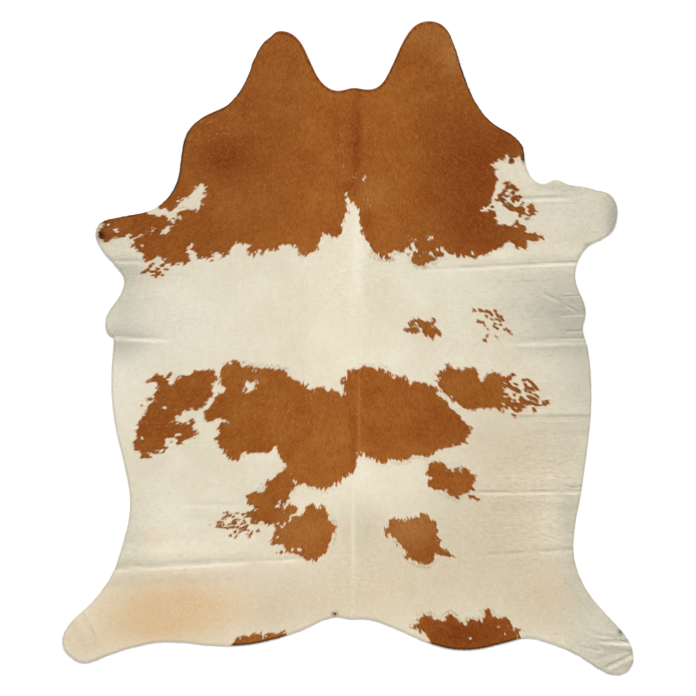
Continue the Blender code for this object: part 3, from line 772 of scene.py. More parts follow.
BROWN_FLECKS = {
    "below the left elbow": (
        (-66.3, 27.5, 0.8, 0.6, 0), (-65.3, 28.3, 0.5, 0.35, 0), (-62.3, 27.6, 1.0, 0.4, 15),
        (-63.9, 26.5, 0.9, 0.4, -20), (-61.0, 26.2, 0.8, 0.4, 0), (-67.5, 26.0, 0.9, 0.45, 20),
        (-68.3, 25.4, 0.8, 0.4, 0), (-66.0, 25.5, 0.9, 0.45, -10), (-64.4, 25.5, 0.9, 0.4, -10),
        (-63.2, 25.3, 0.8, 0.4, 25), (-64.0, 24.6, 0.8, 0.4, 0), (-65.5, 24.3, 0.5, 0.35, -20),
        (-64.4, 23.7, 0.5, 0.35, 0), (-62.2, 24.4, 0.45, 0.4, 0),
    ),
    "right shoulder": (
        (53.4, 55.3, 1.2, 0.55, 10), (53.7, 53.9, 0.8, 0.7, 0), (55.5, 54.0, 1.3, 0.75, -30),
        (56.8, 53.1, 0.9, 0.45, -20), (52.8, 52.7, 0.8, 0.4, 0), (55.4, 51.9, 1.0, 0.65, 10),
        (53.5, 50.9, 1.0, 0.4, 5), (52.1, 51.5, 1.1, 0.7, 35), (51.5, 50.4, 1.5, 0.8, -45),
        (56.8, 50.6, 1.8, 0.6, 5), (57.0, 49.8, 1.0, 0.5, 0), (55.3, 50.0, 0.7, 0.4, 10),
        (55.6, 49.0, 0.7, 0.4, 15), (50.0, 49.5, 1.0, 0.4, -5), (52.4, 49.2, 1.2, 0.8, -40),
        (53.8, 48.2, 1.0, 0.55, -50), (52.4, 47.8, 0.5, 0.35, 0), (54.7, 47.2, 1.7, 1.0, -40),
        (55.8, 46.6, 0.8, 0.8, 0), (58.1, 46.2, 1.6, 1.25, -60), (57.9, 44.3, 0.7, 0.5, 30),
        (59.5, 45.0, 0.7, 0.4, -20), (58.9, 48.8, 0.4, 0.35, 0), (58.4, 48.0, 0.4, 0.3, -40),
        (61.4, 47.5, 1.3, 0.55, 15), (61.8, 46.2, 1.2, 0.95, 0), (61.8, 44.8, 1.3, 0.5, 15),
        (60.4, 44.6, 0.6, 0.35, 0), (60.0, 43.2, 0.5, 0.35, 10), (60.8, 43.7, 0.4, 0.3, 30),
        (48.6, 47.3, 0.6, 0.4, 10), (54.8, 62.5, 0.5, 0.35, -20), (55.6, 63.4, 0.9, 0.4, -40),
    ),
    "left foreleg end": (
        (-82.6, 39.7, 0.8, 0.45, 10), (-83.3, 38.6, 0.6, 0.5, 60), (-83.2, 37.0, 0.6, 0.4, -30),
        (-82.0, 40.9, 0.5, 0.35, 60),
    ),
    "below the withers": (
        (12.6, 30.2, 1.2, 0.4, 0), (23.8, 28.5, 1.5, 0.6, -10), (29.0, 29.8, 1.2, 0.5, 10),
        (31.4, 30.9, 1.3, 0.5, -5),
    ),
    "right side of the ribs": (
        (44.6, 12.4, 1.4, 0.4, -4), (46.9, 12.2, 1.4, 0.45, -5), (49.6, 12.3, 1.0, 0.4, -35),
        (48.2, 11.2, 0.9, 0.5, -50), (50.3, 10.9, 1.1, 0.45, -50), (46.7, 10.6, 0.7, 0.4, -40),
        (51.6, 10.3, 0.8, 0.4, -50), (52.3, 9.2, 0.6, 0.35, -60), (49.8, 9.6, 0.8, 0.4, -20),
        (48.3, 9.5, 0.7, 0.35, -20), (51.2, 9.0, 0.7, 0.4, -70), (44.2, 8.8, 0.9, 0.45, -30),
        (45.6, 8.5, 0.6, 0.35, -30), (46.0, 7.4, 0.5, 0.35, -20), (46.9, 6.3, 0.6, 0.35, -60),
        (49.5, 8.0, 0.5, 0.35, -10), (49.2, 7.1, 0.6, 0.35, -35), (50.1, 6.4, 0.6, 0.35, 0),
        (51.5, 7.7, 0.5, 0.35, -30), (53.3, 6.5, 0.5, 0.35, -30), (52.7, 6.0, 0.45, 0.35, -20),
        (54.3, 5.2, 0.9, 0.55, -30), (54.9, 4.5, 0.5, 0.4, -20), (46.9, 4.0, 0.6, 0.35, 60),
        (46.2, 2.6, 0.5, 0.35, -20), (49.7, 3.9, 0.6, 0.3, -35), (50.2, 3.3, 0.4, 0.3, -45),
    ),
    "behind the right ribs": (
        (55.4, -9.1, 0.8, 0.45, -10), (52.8, -10.4, 1.8, 0.5, -28), (54.4, -10.2, 1.0, 0.7, -50),
        (53.4, -11.6, 1.7, 0.45, -30), (52.6, -12.8, 1.6, 0.5, -40), (54.7, -13.3, 2.2, 0.6, -30),
        (56.5, -12.3, 1.0, 0.35, -30), (56.8, -14.1, 1.6, 0.55, -30), (57.3, -14.9, 1.0, 0.4, -20),
        (59.2, -10.9, 1.1, 0.4, -15), (61.3, -11.4, 1.6, 0.5, -42), (62.6, -12.8, 1.5, 0.6, -45),
        (63.6, -13.9, 0.8, 0.45, -30), (59.8, -12.6, 0.9, 0.45, -60), (60.3, -13.6, 1.0, 0.5, -30),
        (61.8, -13.9, 1.4, 0.5, -25), (59.7, -14.4, 0.8, 0.4, -40), (61.2, -14.9, 0.9, 0.4, -30),
        (63.6, -16.2, 1.5, 0.35, -33), (53.3, -15.6, 1.0, 0.4, -25), (56.0, -15.8, 0.6, 0.5, 0),
        (52.6, -17.8, 2.0, 1.0, -15), (54.3, -17.2, 1.0, 0.5, -40), (55.9, -17.6, 0.6, 0.4, 0),
        (58.6, -17.0, 1.2, 0.45, -30), (59.4, -18.2, 2.2, 0.75, -25), (61.5, -16.8, 1.6, 0.6, -30),
        (61.8, -18.6, 1.6, 0.55, -20), (63.3, -17.6, 1.3, 0.55, -40), (63.2, -19.3, 0.8, 0.4, -40),
        (64.3, -19.3, 1.0, 0.45, -10), (65.6, -18.3, 0.7, 0.4, -45), (67.0, -18.2, 0.9, 0.6, -10),
        (66.3, -18.9, 0.6, 0.35, 30), (56.0, -19.2, 3.4, 0.8, -5), (58.4, -19.8, 1.6, 0.5, -10),
        (57.8, -20.9, 1.0, 0.6, -20), (56.0, -20.9, 1.2, 0.45, -35), (52.5, -19.8, 1.8, 0.5, -20),
        (51.5, -20.9, 1.3, 0.45, -10), (53.4, -20.5, 0.9, 0.4, -25), (62.5, -20.6, 0.7, 0.4, -60),
        (62.8, -21.3, 0.5, 0.4, 0), (55.9, -22.7, 0.8, 0.4, -50),
    ),
    "left thigh": (
        (-40.6, -55.5, 0.5, 0.35, 20), (-41.7, -55.5, 0.35, 0.25, 0), (-39.8, -56.5, 1.5, 0.3, 15),
        (-37.7, -55.7, 0.9, 0.28, 10), (-35.2, -55.9, 0.6, 0.4, 20), (-34.4, -56.8, 0.6, 0.3, 30),
        (-37.0, -57.7, 0.8, 0.32, 10), (-38.4, -56.8, 0.7, 0.25, 20), (-42.0, -57.5, 0.55, 0.35, 20),
        (-41.0, -57.5, 0.4, 0.25, 0), (-34.9, -58.0, 0.45, 0.4, 30), (-43.2, -58.7, 1.2, 0.35, -5),
        (-38.2, -58.7, 0.9, 0.9, 0), (-39.5, -59.3, 1.3, 0.3, 5), (-35.3, -59.1, 1.2, 0.28, 20),
        (-43.3, -60.2, 1.0, 0.45, 0), (-42.0, -59.4, 1.2, 0.22, 0), (-41.0, -60.5, 1.5, 0.32, -8),
        (-38.8, -60.3, 1.3, 0.35, 5), (-37.1, -60.3, 0.8, 0.35, 15), (-34.2, -60.0, 1.2, 0.38, 25),
        (-35.9, -60.8, 0.9, 0.35, 20), (-34.5, -61.1, 0.8, 0.25, 30), (-33.4, -61.3, 0.7, 0.32, -10),
        (-37.8, -61.9, 0.65, 0.38, 40), (-36.3, -61.9, 0.5, 0.28, 30), (-33.7, -62.5, 0.6, 0.28, 20),
        (-32.6, -62.4, 1.1, 0.32, 40), (-39.5, -63.1, 0.65, 0.4, 10), (-37.4, -63.2, 0.5, 0.28, 40),
        (-38.0, -63.9, 0.4, 0.3, 0), (-33.3, -55.6, 1.3, 0.35, 20), (-33.6, -56.5, 0.8, 0.35, 30),
    ),
    "odd ones": (
        (-67.6, -11.4, 0.6, 0.45, 30), (42.2, -50.3, 1.6, 0.5, -20), (-4.4, -89.4, 0.9, 0.3, 0),
        (-60.3, -9.8, 0.8, 0.45, 30), (-59.4, -8.9, 0.5, 0.35, 60), (-59.6, -31.2, 0.6, 0.3, 30),
        (-21.8, -68.8, 1.1, 0.35, 5), (-30.5, -61.6, 0.6, 0.3, 20), (-25.8, -65.4, 0.8, 0.3, 10),
    ),
}

CREAM_FLECKS = (
    (-77.8, 39.2, 0.7, 0.4, -30), (-66.3, 39.1, 1.1, 0.28, 32), (-71.5, 36.7, 1.2, 0.22, 33),
    (-69.1, 34.1, 0.3, 0.3, 0), (-52.6, 34.4, 0.35, 0.35, 0), (-56.6, 43.8, 0.9, 0.28, -40),
    (52.5, -96.2, 0.5, 0.18, 10), (51.1, -93.7, 0.2, 0.1, 30), (22.9, 8.3, 0.5, 0.14, -35),
    (22.3, 7.0, 0.45, 0.12, 5), (27.6, 9.6, 0.4, 0.15, 80), (24.6, 6.1, 0.4, 0.10, 20),
    (5.5, 57.0, 0.5, 0.22, 70), (53.6, -14.2, 1.0, 0.3, -35), (-16.5, -41.5, 0.5, 0.2, 20),
    (27.7, 37.0, 0.35, 0.3, 0), (59.3, 38.5, 0.45, 0.25, -40), (56.5, 40.7, 0.6, 0.3, -30),
    (21.5, 36.4, 0.9, 0.35, -40), (20.3, 33.4, 0.7, 0.35, 60), (27.6, 31.6, 1.2, 0.25, -10),
    (29.0, 30.6, 0.9, 0.22, -50), (23.4, 32.6, 0.4, 0.2, 0), (24.0, 30.8, 0.3, 0.2, 60),
    (31.0, 33.2, 0.9, 0.35, 10), (43.0, 32.5, 0.4, 0.2, 0), (41.9, 31.6, 0.5, 0.3, 60),
    (-80.6, 41.4, 0.6, 0.3, 40), (50.0, -94.6, 0.3, 0.12, 40), (55.6, -95.0, 0.3, 0.12, 60),
    (45.5, -91.9, 0.3, 0.10, 0), (53.8, -93.4, 0.3, 0.12, 20), (41.3, -97.7, 0.2, 0.08, 0),
    (54.4, 53.1, 0.9, 0.18, -20), (53.4, 49.9, 1.2, 0.18, -30), (55.9, 48.2, 0.9, 0.2, -45),
    (54.4, 51.5, 1.0, 0.15, 10), (59.9, 46.4, 0.9, 0.2, -60), (53.1, 48.7, 0.8, 0.15, -45),
    (-23.4, -59.0, 0.8, 0.3, 30), (-22.3, -60.1, 0.7, 0.25, -40), (-21.2, -59.2, 0.7, 0.25, 60),
    (-19.3, -57.7, 1.2, 0.28, 60), (-19.0, -56.4, 0.9, 0.3, 40), (-22.6, -51.8, 0.5, 0.35, 60),
    (-23.2, -53.2, 0.8, 0.3, 0), (-17.9, -44.8, 1.0, 0.3, -55), (-16.3, -67.9, 0.6, 0.3, -20),
    (-18.6, -68.0, 0.5, 0.25, 50), (-24.2, -63.9, 0.9, 0.25, 30), (-61.4, -20.3, 0.4, 0.25, 0),
    (-66.0, -18.3, 1.2, 0.22, 20), (-57.3, -23.9, 0.9, 0.25, 45), (-57.6, -29.4, 0.8, 0.2, 20),
    (-69.0, -30.4, 0.3, 0.2, 0), (-33.4, -12.6, 0.7, 0.4, 60), (-48.9, 48.0, 0.5, 0.25, 40),
)
print("flecks:", sum(len(group) for group in BROWN_FLECKS.values()), "brown,", len(CREAM_FLECKS), "cream")

# %% [markdown]
# Patches, islands and flecks are joined in one chart, which holds for each place how deep it lies in
# the brown. Brown patches come first, cream islands are taken out of them, and the flecks of both
# colours come last.

# %% One chart for the coat's colour


def around(places):
    """The part of the chart within reach of some places."""
    middle = (places.min(axis=0) + places.max(axis=0)) / 2.0
    half = (places.max(axis=0) - places.min(axis=0)) / 2.0 + FAR
    return window(*middle, *half)


def patch_depth(outline):
    """Where an outline given in centimetres lies on the chart, and how deep each place is in it."""
    line = rounded_line(np.array(outline) * CENTIMETRE, CHART_LINE)
    rows, columns = around(line)
    return (rows, columns), depth_inside(line, chart_x[columns], chart_y[rows])


FLECK_HOLD = 1.5
FLECK_WIDEN = 1.15


def fleck_depth(row):
    """The same for a fleck, made deeper so that it holds its own among the ripples."""
    fleck = Fleck(*row)
    middle = np.array((fleck.x, fleck.y)) * CENTIMETRE
    length = fleck.half_length * CENTIMETRE
    width = FLECK_WIDEN * fleck.half_width * CENTIMETRE
    rows, columns = window(*middle, length + FAR, length + FAR)
    right, up = np.meshgrid(chart_x[columns] - middle[0], chart_y[rows] - middle[1])
    slant = math.radians(fleck.slant)
    along = (right * math.cos(slant) + up * math.sin(slant)) / length
    across = (up * math.cos(slant) - right * math.sin(slant)) / width
    return (rows, columns), (1.0 - np.hypot(along, across)) * width * FLECK_HOLD


def chart_the_coat():
    """Depth inside the brown, below zero on the cream."""
    chart = np.full(edge_chart.shape, -FAR)
    for outline in BROWN_PATCHES.values():
        part, depth = patch_depth(outline)
        chart[part] = np.maximum(chart[part], depth)
    for outline in CREAM_ISLANDS.values():
        part, depth = patch_depth(outline)
        chart[part] = np.minimum(chart[part], -depth)
    for group in BROWN_FLECKS.values():
        for fleck in group:
            part, depth = fleck_depth(fleck)
            chart[part] = np.maximum(chart[part], depth)
    for fleck in CREAM_FLECKS:
        part, depth = fleck_depth(fleck)
        chart[part] = np.minimum(chart[part], -depth)
    return chart


brown_chart = chart_the_coat()
share = (brown_chart[edge_chart > 0.0] > 0.0).mean()
print("brown covers", round(100 * share), "% of the hide")

# %% [markdown]
# ## How the hair lies
#
# On the animal the coat runs from the backbone outwards and back, turns along the legs and fans
# over the neck. A few guide directions on the right half say which way it points, in degrees from
# straight outwards, below zero towards the tail. Every lock takes a blend of its nearest guides, and
# the left half mirrors the right about the backbone.

# %% Guide directions
Guide = namedtuple("Guide", "name out y degrees")
GUIDES = (
    Guide("poll", 0.03, 0.86, -84.0),
    Guide("neck flap", 0.24, 1.02, -70.0),
    Guide("neck side", 0.36, 0.88, -52.0),
    Guide("withers", 0.03, 0.55, -86.0),
    Guide("shoulder", 0.30, 0.60, -60.0),
    Guide("point of shoulder", 0.54, 0.62, -36.0),
    Guide("elbow", 0.60, 0.42, -28.0),
    Guide("foreleg", 0.82, 0.44, -8.0),
    Guide("back", 0.03, 0.10, -84.0),
    Guide("ribs", 0.30, 0.10, -52.0),
    Guide("flank", 0.66, 0.12, -26.0),
    Guide("loin", 0.03, -0.40, -82.0),
    Guide("belly", 0.66, -0.30, -30.0),
    Guide("thigh", 0.40, -0.55, -46.0),
    Guide("stifle", 0.70, -0.62, -48.0),
    Guide("croup", 0.05, -0.84, -86.0),
    Guide("buttock", 0.40, -0.90, -58.0),
    Guide("hind leg", 0.84, -0.96, -44.0),
)
GUIDE_POWER = 3.0
GUIDE_CORE = 0.02
PARTING = 0.03


def hair_lie(x, y):
    """Unit directions of the hair over the rug, as two arrays."""
    out = np.abs(x - SPINE_X)
    side = np.where(x < SPINE_X, -1.0, 1.0)
    outwards = np.zeros_like(x)
    upwards = np.zeros_like(x)
    for guide in GUIDES:
        gap = np.hypot(out - guide.out, y - guide.y) + GUIDE_CORE
        pull = gap**-GUIDE_POWER
        outwards += pull * math.cos(math.radians(guide.degrees))
        upwards += pull * math.sin(math.radians(guide.degrees))
    length = np.hypot(outwards, upwards)
    parting = ease(out / PARTING)
    outwards = outwards / length * parting
    upwards = upwards / length
    length = np.hypot(outwards, upwards)
    return side * outwards / length, upwards / length


sample = hair_lie(np.array([0.7]), np.array([0.1]))
print("hair at the right flank points", [round(float(part[0]), 2) for part in sample])

# %% [markdown]
# The edge of a patch isn't a cut: tufts of one colour reach into the other, along the hair. So the
# ripple is combed along the hair before it moves the edge. In the groups of flecks, which are drawn
# one by one already, it is kept low.

# %% Ripples combed along the hair
COMB_STEPS = (-0.5, -0.25, 0.0, 0.25, 0.5)
COMB_SHARE = 3.0


def combed_ripple(x, y, size, stretch, seed):
    """Unevenness drawn out along the hair. Sharing by five would leave it too weak, so it is less."""
    lie_x, lie_y = hair_lie(x, y)
    along = np.zeros_like(x)
    for step in COMB_STEPS:
        shift = step * stretch * size
        along += ripple(x + lie_x * shift, y + lie_y * shift, size, seed)
    return along / COMB_SHARE


FLECKED = (
    (0.555, 0.49, 0.075, 0.085), (0.49, 0.08, 0.06, 0.06), (0.58, -0.155, 0.085, 0.075),
    (-0.38, -0.595, 0.065, 0.055), (-0.64, 0.26, 0.05, 0.035), (-0.825, 0.385, 0.02, 0.04),
    (0.28, 0.30, 0.07, 0.02), (-0.22, -0.58, 0.04, 0.04),
)
WEAR_SIZE = 0.06
WEAR_SEED = 13
Tuft = namedtuple("Tuft", "reach size stretch seed")
TUFTS = (Tuft(0.0050, 0.0075, 1.2, 11), Tuft(0.0046, 0.0040, 1.6, 12))


def calm(x, y):
    """1 in the middle of a group of flecks, where ripples would only blur it, and 0 away from them."""
    most = np.zeros_like(x)
    for centre_x, centre_y, half_width, half_height in FLECKED:
        off = ((x - centre_x) / half_width) ** 2 + ((y - centre_y) / half_height) ** 2
        most = np.maximum(most, ease(1.5 - off))
    return most


def brown_depth(x, y):
    """Depth inside the brown with the edges broken up by locks, below zero on the cream."""
    rough = (1.0 + 0.5 * ripple(x, y, WEAR_SIZE, WEAR_SEED)) * (1.0 - 0.7 * calm(x, y))
    depth = read_chart(brown_chart, x, y)
    for tuft in TUFTS:
        depth = depth + tuft.reach * rough * combed_ripple(x, y, tuft.size, tuft.stretch, tuft.seed)
    return depth


print("depth of brown at the neck:", brown_depth(np.array([0.0]), np.array([0.8])).round(3))

# %% [markdown]
# ## Tints
#
# The cream isn't one colour. It is greyer at the flanks and at the ends of the legs, partly a cooler
# tone and partly painted shade where swells and curled ends turn away from the lamp. It is lighter on
# the left and on the ribs, partly paler hair and partly painted light, dusky over the rump, and warm at
# the hind legs, where the sun and the stable have stained it. The brown is deeper in soft clouds over
# the shoulders and along the backbone, and golden where it thins out. A few spots, some at the ends of
# the legs, are nearly black, and beside the curled right hind leg the same dark is a painted shadow.
# Each tint is a soft oval, a plain row of its place, half width, half length and amount, and the
# shader only mixes.

# %% Tints
Tint = namedtuple("Tint", "x y half_width half_length amount")

# Greyer ovals: partly a cooler tone, partly painted shade on the swells and the curled leg ends.
GREY_AND_SHADE = (
    (0.76, 0.13, 0.22, 0.14, 0.88), (0.905, 0.44, 0.042, 0.12, 1.00), (0.80, 0.45, 0.10, 0.14, 0.20),
    (0.80, -0.10, 0.10, 0.26, 0.45), (-0.77, 0.13, 0.13, 0.16, 0.50), (-0.76, 0.00, 0.08, 0.06, 0.40),
    (-0.74, -0.62, 0.08, 0.16, 0.35), (0.79, -0.70, 0.08, 0.30, 0.55), (0.90, -1.02, 0.12, 0.14, 0.55),
    (-0.76, 0.26, 0.10, 0.06, 0.45), (0.81, 0.345, 0.018, 0.010, 1.00), (0.740, -0.57, 0.026, 0.14, 0.28),
    (0.70, 0.535, 0.10, 0.025, 0.55),
)
# Lighter ovals: partly paler hair, partly painted light that makes the left side look more strongly lit.
BRIGHT_AND_LIT = (
    (-0.55, 0.08, 0.34, 0.20, 0.80), (-0.76, -0.12, 0.10, 0.22, 0.75), (-0.60, -0.60, 0.14, 0.12, 0.60),
    (0.72, 0.45, 0.14, 0.08, 0.60), (0.35, 0.22, 0.26, 0.10, 0.35), (0.030, 0.28, 0.026, 0.22, 0.55),
    (0.018, -0.66, 0.008, 0.22, 0.45), (0.670, -0.56, 0.040, 0.10, 0.40),
)
GOLD = (
    (0.22, -0.61, 0.09, 0.09, 1.00), (0.0385, -0.22, 0.005, 0.24, 0.70), (-0.035, -0.12, 0.030, 0.10, 0.25),
    (0.35, 0.98, 0.04, 0.09, 0.85), (0.27, 1.05, 0.06, 0.05, 0.55), (-0.16, -0.62, 0.10, 0.08, 0.50),
    (0.10, 0.52, 0.08, 0.07, 0.35), (0.34, -0.12, 0.05, 0.05, 0.25), (-0.24, 0.88, 0.16, 0.10, 0.15),
    (-0.33, 0.50, 0.12, 0.06, 0.20),
)
WARM = (
    (-0.56, -0.885, 0.22, 0.13, 0.95), (-0.70, -0.90, 0.18, 0.14, 0.45), (-0.87, -0.98, 0.14, 0.10, 0.35),
    (-0.65, -0.64, 0.07, 0.04, 0.30), (0.69, -0.85, 0.12, 0.12, 0.26), (0.57, -0.52, 0.26, 0.32, 0.20),
    (0.92, -1.06, 0.06, 0.05, 0.25), (0.15, -0.80, 0.50, 0.16, 0.20), (-0.30, -0.86, 0.30, 0.12, 0.15),
    (-0.20, 0.08, 0.30, 0.14, 0.12),
)
DUSK = (
    (0.08, -0.78, 0.34, 0.22, 0.75), (0.50, -0.62, 0.26, 0.26, 0.60), (0.62, -0.32, 0.18, 0.14, 0.40),
    (-0.22, -0.88, 0.22, 0.10, 0.50), (0.10, 0.16, 0.10, 0.14, 0.35), (0.64, -0.86, 0.18, 0.14, 0.45),
    (0.04, -0.60, 0.10, 0.10, 0.50), (0.44, -0.30, 0.14, 0.12, 0.20),
)
DEEP = (
    (-0.415, 0.63, 0.11, 0.085, 0.95), (-0.34, 0.46, 0.14, 0.07, 0.15), (-0.22, 0.98, 0.10, 0.12, 0.35),
    (0.43, 0.62, 0.18, 0.20, 0.95), (0.031, 0.70, 0.022, 0.17, 0.80), (0.020, -0.31, 0.014, 0.12, 0.55),
    (0.100, -0.30, 0.050, 0.06, 0.20), (0.070, 0.42, 0.030, 0.05, 0.55), (0.002, 0.545, 0.026, 0.025, 0.55),
    (-0.034, 0.66, 0.016, 0.10, 0.25), (0.00, 0.66, 0.060, 0.20, 0.30), (0.42, 0.40, 0.18, 0.12, 0.60),
    (0.54, 0.70, 0.05, 0.05, 0.35), (-0.72, 0.41, 0.16, 0.07, 0.35), (0.40, -0.96, 0.24, 0.10, 1.00),
    (-0.63, -0.26, 0.16, 0.16, 0.45), (-0.25, 0.70, 0.16, 0.12, 0.20), (0.28, -0.26, 0.16, 0.10, 0.30),
    (0.26, -0.70, 0.10, 0.06, 0.40),
)
# Nearly black spots in the coat, and one painted shadow beside the curled right hind leg.
DARK_SPOTS_AND_SHADOW = (
    (-0.829, 0.380, 0.012, 0.020, 0.85), (-0.812, 0.372, 0.030, 0.020, 0.35),
    (-0.822, 0.420, 0.022, 0.006, 0.70), (0.915, -0.953, 0.010, 0.014, 0.80),
    (0.548, 0.627, 0.007, 0.004, 0.90), (0.486, 0.473, 0.006, 0.004, 0.90),
    (0.604, 0.434, 0.009, 0.005, 0.90), (0.554, -0.091, 0.009, 0.006, 0.70),
    (0.590, 0.628, 0.008, 0.012, 0.70), (-0.044, -0.894, 0.012, 0.008, 0.90),
    (0.380, -0.970, 0.090, 0.040, 0.18),
)
# Where small crinkles are painted into the cream as light and shade.
CRINKLE_LIGHT_ZONES = (
    (0.66, 0.16, 0.20, 0.20, 0.90), (0.62, -0.56, 0.22, 0.24, 0.80), (0.70, -0.30, 0.16, 0.24, 0.50),
    (0.86, -1.02, 0.18, 0.14, 0.90), (-0.74, -0.62, 0.12, 0.16, 0.70), (-0.56, -0.86, 0.28, 0.14, 0.55),
    (0.04, 0.22, 0.12, 0.16, 0.40), (-0.74, 0.22, 0.14, 0.12, 0.45), (0.72, 0.50, 0.14, 0.06, 0.60),
    (0.02, -0.78, 0.14, 0.12, 0.50),
)

TINTS = {
    "grey_and_shade": GREY_AND_SHADE,
    "bright_and_lit": BRIGHT_AND_LIT,
    "dusk": DUSK,
    "warm": WARM,
    "gold": GOLD,
    "deep": DEEP,
    "dark_spots_and_shadow": DARK_SPOTS_AND_SHADOW,
    "crinkle_light": CRINKLE_LIGHT_ZONES,
}
TINT_FALL = 1.3


def tint_at(tints, x, y):
    """How strong a tint is at some places."""
    strength = np.zeros_like(x)
    for tint in (Tint(*row) for row in tints):
        across = (x - tint.x) / tint.half_width
        along = (y - tint.y) / tint.half_length
        strength += tint.amount * np.exp(-TINT_FALL * (across**2 + along**2))
    return np.clip(strength, 0.0, 1.0)


print("tints:", {name: len(tints) for name, tints in TINTS.items()})

# %% [markdown]
# Three more sets of ovals say where a patch's edge is dark, where a faint line in the cream echoes
# the edge, and where single pale locks glint in the brown. The locks read them one by one.

# %% Ovals for the patch edges and the glints
DARK_EDGES = (
    (0.10, 0.320, 0.12, 0.060, 1.00), (0.28, 0.290, 0.12, 0.040, 1.00), (0.56, 0.500, 0.08, 0.100, 0.80),
    (0.55, 0.640, 0.05, 0.030, 0.80), (0.49, 0.080, 0.07, 0.070, 0.90), (0.25, 0.060, 0.08, 0.050, 0.70),
    (-0.38, -0.590, 0.09, 0.070, 1.00), (-0.68, -0.300, 0.08, 0.120, 0.80),
    (-0.42, -0.300, 0.04, 0.080, 0.70), (-0.33, -0.520, 0.06, 0.060, 0.90),
    (-0.12, -0.700, 0.10, 0.040, 0.70), (0.30, -0.640, 0.05, 0.100, 0.80),
    (0.38, -0.460, 0.08, 0.060, 0.80), (0.40, -0.950, 0.22, 0.060, 0.80),
    (-0.30, -0.980, 0.10, 0.030, 0.80), (-0.62, 0.340, 0.16, 0.050, 0.60),
    (0.58, -0.150, 0.09, 0.070, 0.60),
)
ECHO = (
    (0.12, 0.300, 0.07, 0.030, 1.00), (0.28, 0.275, 0.09, 0.030, 1.00), (-0.25, -0.060, 0.13, 0.030, 0.80),
    (0.14, -0.060, 0.09, 0.030, 0.80), (0.26, -0.735, 0.07, 0.030, 0.90),
    (0.360, -0.890, 0.16, 0.040, 0.90), (-0.08, -0.485, 0.12, 0.030, 0.60),
    (-0.04, -0.620, 0.02, 0.100, 0.60), (-0.30, -0.470, 0.07, 0.030, 0.60),
    (0.31, -0.170, 0.06, 0.060, 0.50), (0.20, -0.385, 0.10, 0.030, 0.70), (0.34, -0.500, 0.08, 0.030, 0.50),
)
GLINTS = (
    (0.030, 0.572, 0.040, 0.012, 0.80), (0.052, 0.572, 0.010, 0.008, 3.00),
    (-0.420, 0.720, 0.120, 0.040, 0.22), (-0.020, 0.660, 0.012, 0.060, 0.40),
    (0.060, 0.500, 0.025, 0.035, 0.35), (-0.280, 0.560, 0.100, 0.020, 0.12),
    (0.560, 0.430, 0.040, 0.040, 0.15), (-0.620, -0.240, 0.060, 0.080, 0.12),
    (-0.200, -0.220, 0.200, 0.080, 0.08),
)
print("dark edges:", len(DARK_EDGES), "echoes:", len(ECHO), "glints:", len(GLINTS))

# %% [markdown]
# Where the hide was folded, light and shade are painted into the hair: a painted highlight on the
# side of each crease that faces the lamp, and painted shade on the side that faces away. Each is a
# thin line along a fold, or along a small wrinkle that is too fine for the leather's net, and it
# comes and goes with a slow ripple.

# %% Painted light and shade along the folds
FoldLight = namedtuple("FoldLight", "inner outer pale dusty width runs_out")
# Each row: the two ends of the line, the strength of its painted highlight and of its painted shade, its
# width, and whether it runs out past the cut.
FOLD_LIGHT_LINES = (
    FoldLight((0.50, 0.496), (0.78, 0.503), 0.75, 0.22, 0.0060, False),
    FoldLight((0.18, 0.258), (0.79, 0.286), 0.85, 0.30, 0.0055, True),
    FoldLight((0.50, 0.012), (0.81, 0.018), 0.60, 0.20, 0.0060, True),
    FoldLight((-0.56, 0.024), (-0.81, 0.034), 0.60, 0.10, 0.0055, True),
    FoldLight((-0.58, 0.288), (-0.76, 0.290), 0.40, 0.20, 0.0055, True),
    FoldLight((0.50, -0.236), (0.83, -0.232), 0.10, 0.55, 0.0055, True),
    FoldLight((0.36, -0.488), (0.80, -0.483), 0.60, 0.60, 0.0050, True),
    FoldLight((-0.34, -0.532), (-0.58, -0.527), 0.15, 0.10, 0.0050, False),
    FoldLight((0.02, -0.699), (-0.80, -0.748), 0.60, 0.30, 0.0055, True),
    FoldLight((0.40, -0.700), (0.77, -0.680), 0.15, 0.45, 0.0055, True),
    FoldLight((0.82, -0.984), (0.95, -0.990), 0.70, 0.60, 0.0060, True),
    FoldLight((0.85, -1.083), (0.96, -1.030), 0.90, 0.80, 0.0060, True),
    FoldLight((-0.843, -0.985), (-0.892, -0.893), 0.25, 0.40, 0.0040, True),
    FoldLight((0.700, 0.169), (0.785, 0.176), 0.45, 0.95, 0.0032, True),
    FoldLight((0.715, 0.186), (0.790, 0.183), 0.60, 0.00, 0.0030, True),
    FoldLight((0.645, 0.188), (0.730, 0.146), 0.30, 0.55, 0.0050, False),
    FoldLight((0.725, 0.146), (0.778, 0.116), 0.40, 0.75, 0.0032, False),
    FoldLight((0.735, 0.160), (0.786, 0.130), 0.30, 0.60, 0.0030, False),
    FoldLight((0.700, 0.106), (0.805, 0.112), 0.50, 0.25, 0.0040, True),
    FoldLight((0.720, 0.053), (0.800, 0.056), 0.35, 0.85, 0.0040, True),
    FoldLight((0.560, 0.223), (0.680, 0.219), 0.20, 0.45, 0.0030, False),
    FoldLight((0.740, -0.472), (0.800, -0.466), 0.10, 0.80, 0.0040, True),
    FoldLight((0.640, -0.628), (0.735, -0.656), 0.45, 0.35, 0.0035, False),
    FoldLight((0.655, -0.535), (0.760, -0.512), 0.45, 0.10, 0.0035, False),
    FoldLight((0.770, -1.000), (0.860, -1.022), 0.20, 0.45, 0.0035, False),
)
FOLD_LIGHT_SIZE = 0.04
FOLD_LIGHT_SEED = 51


def light_line_beside(off, width):
    """1 along a line that lies off to one side of a fold, easing to 0 beside it."""
    return ease(1.3 - np.abs(off) / width)


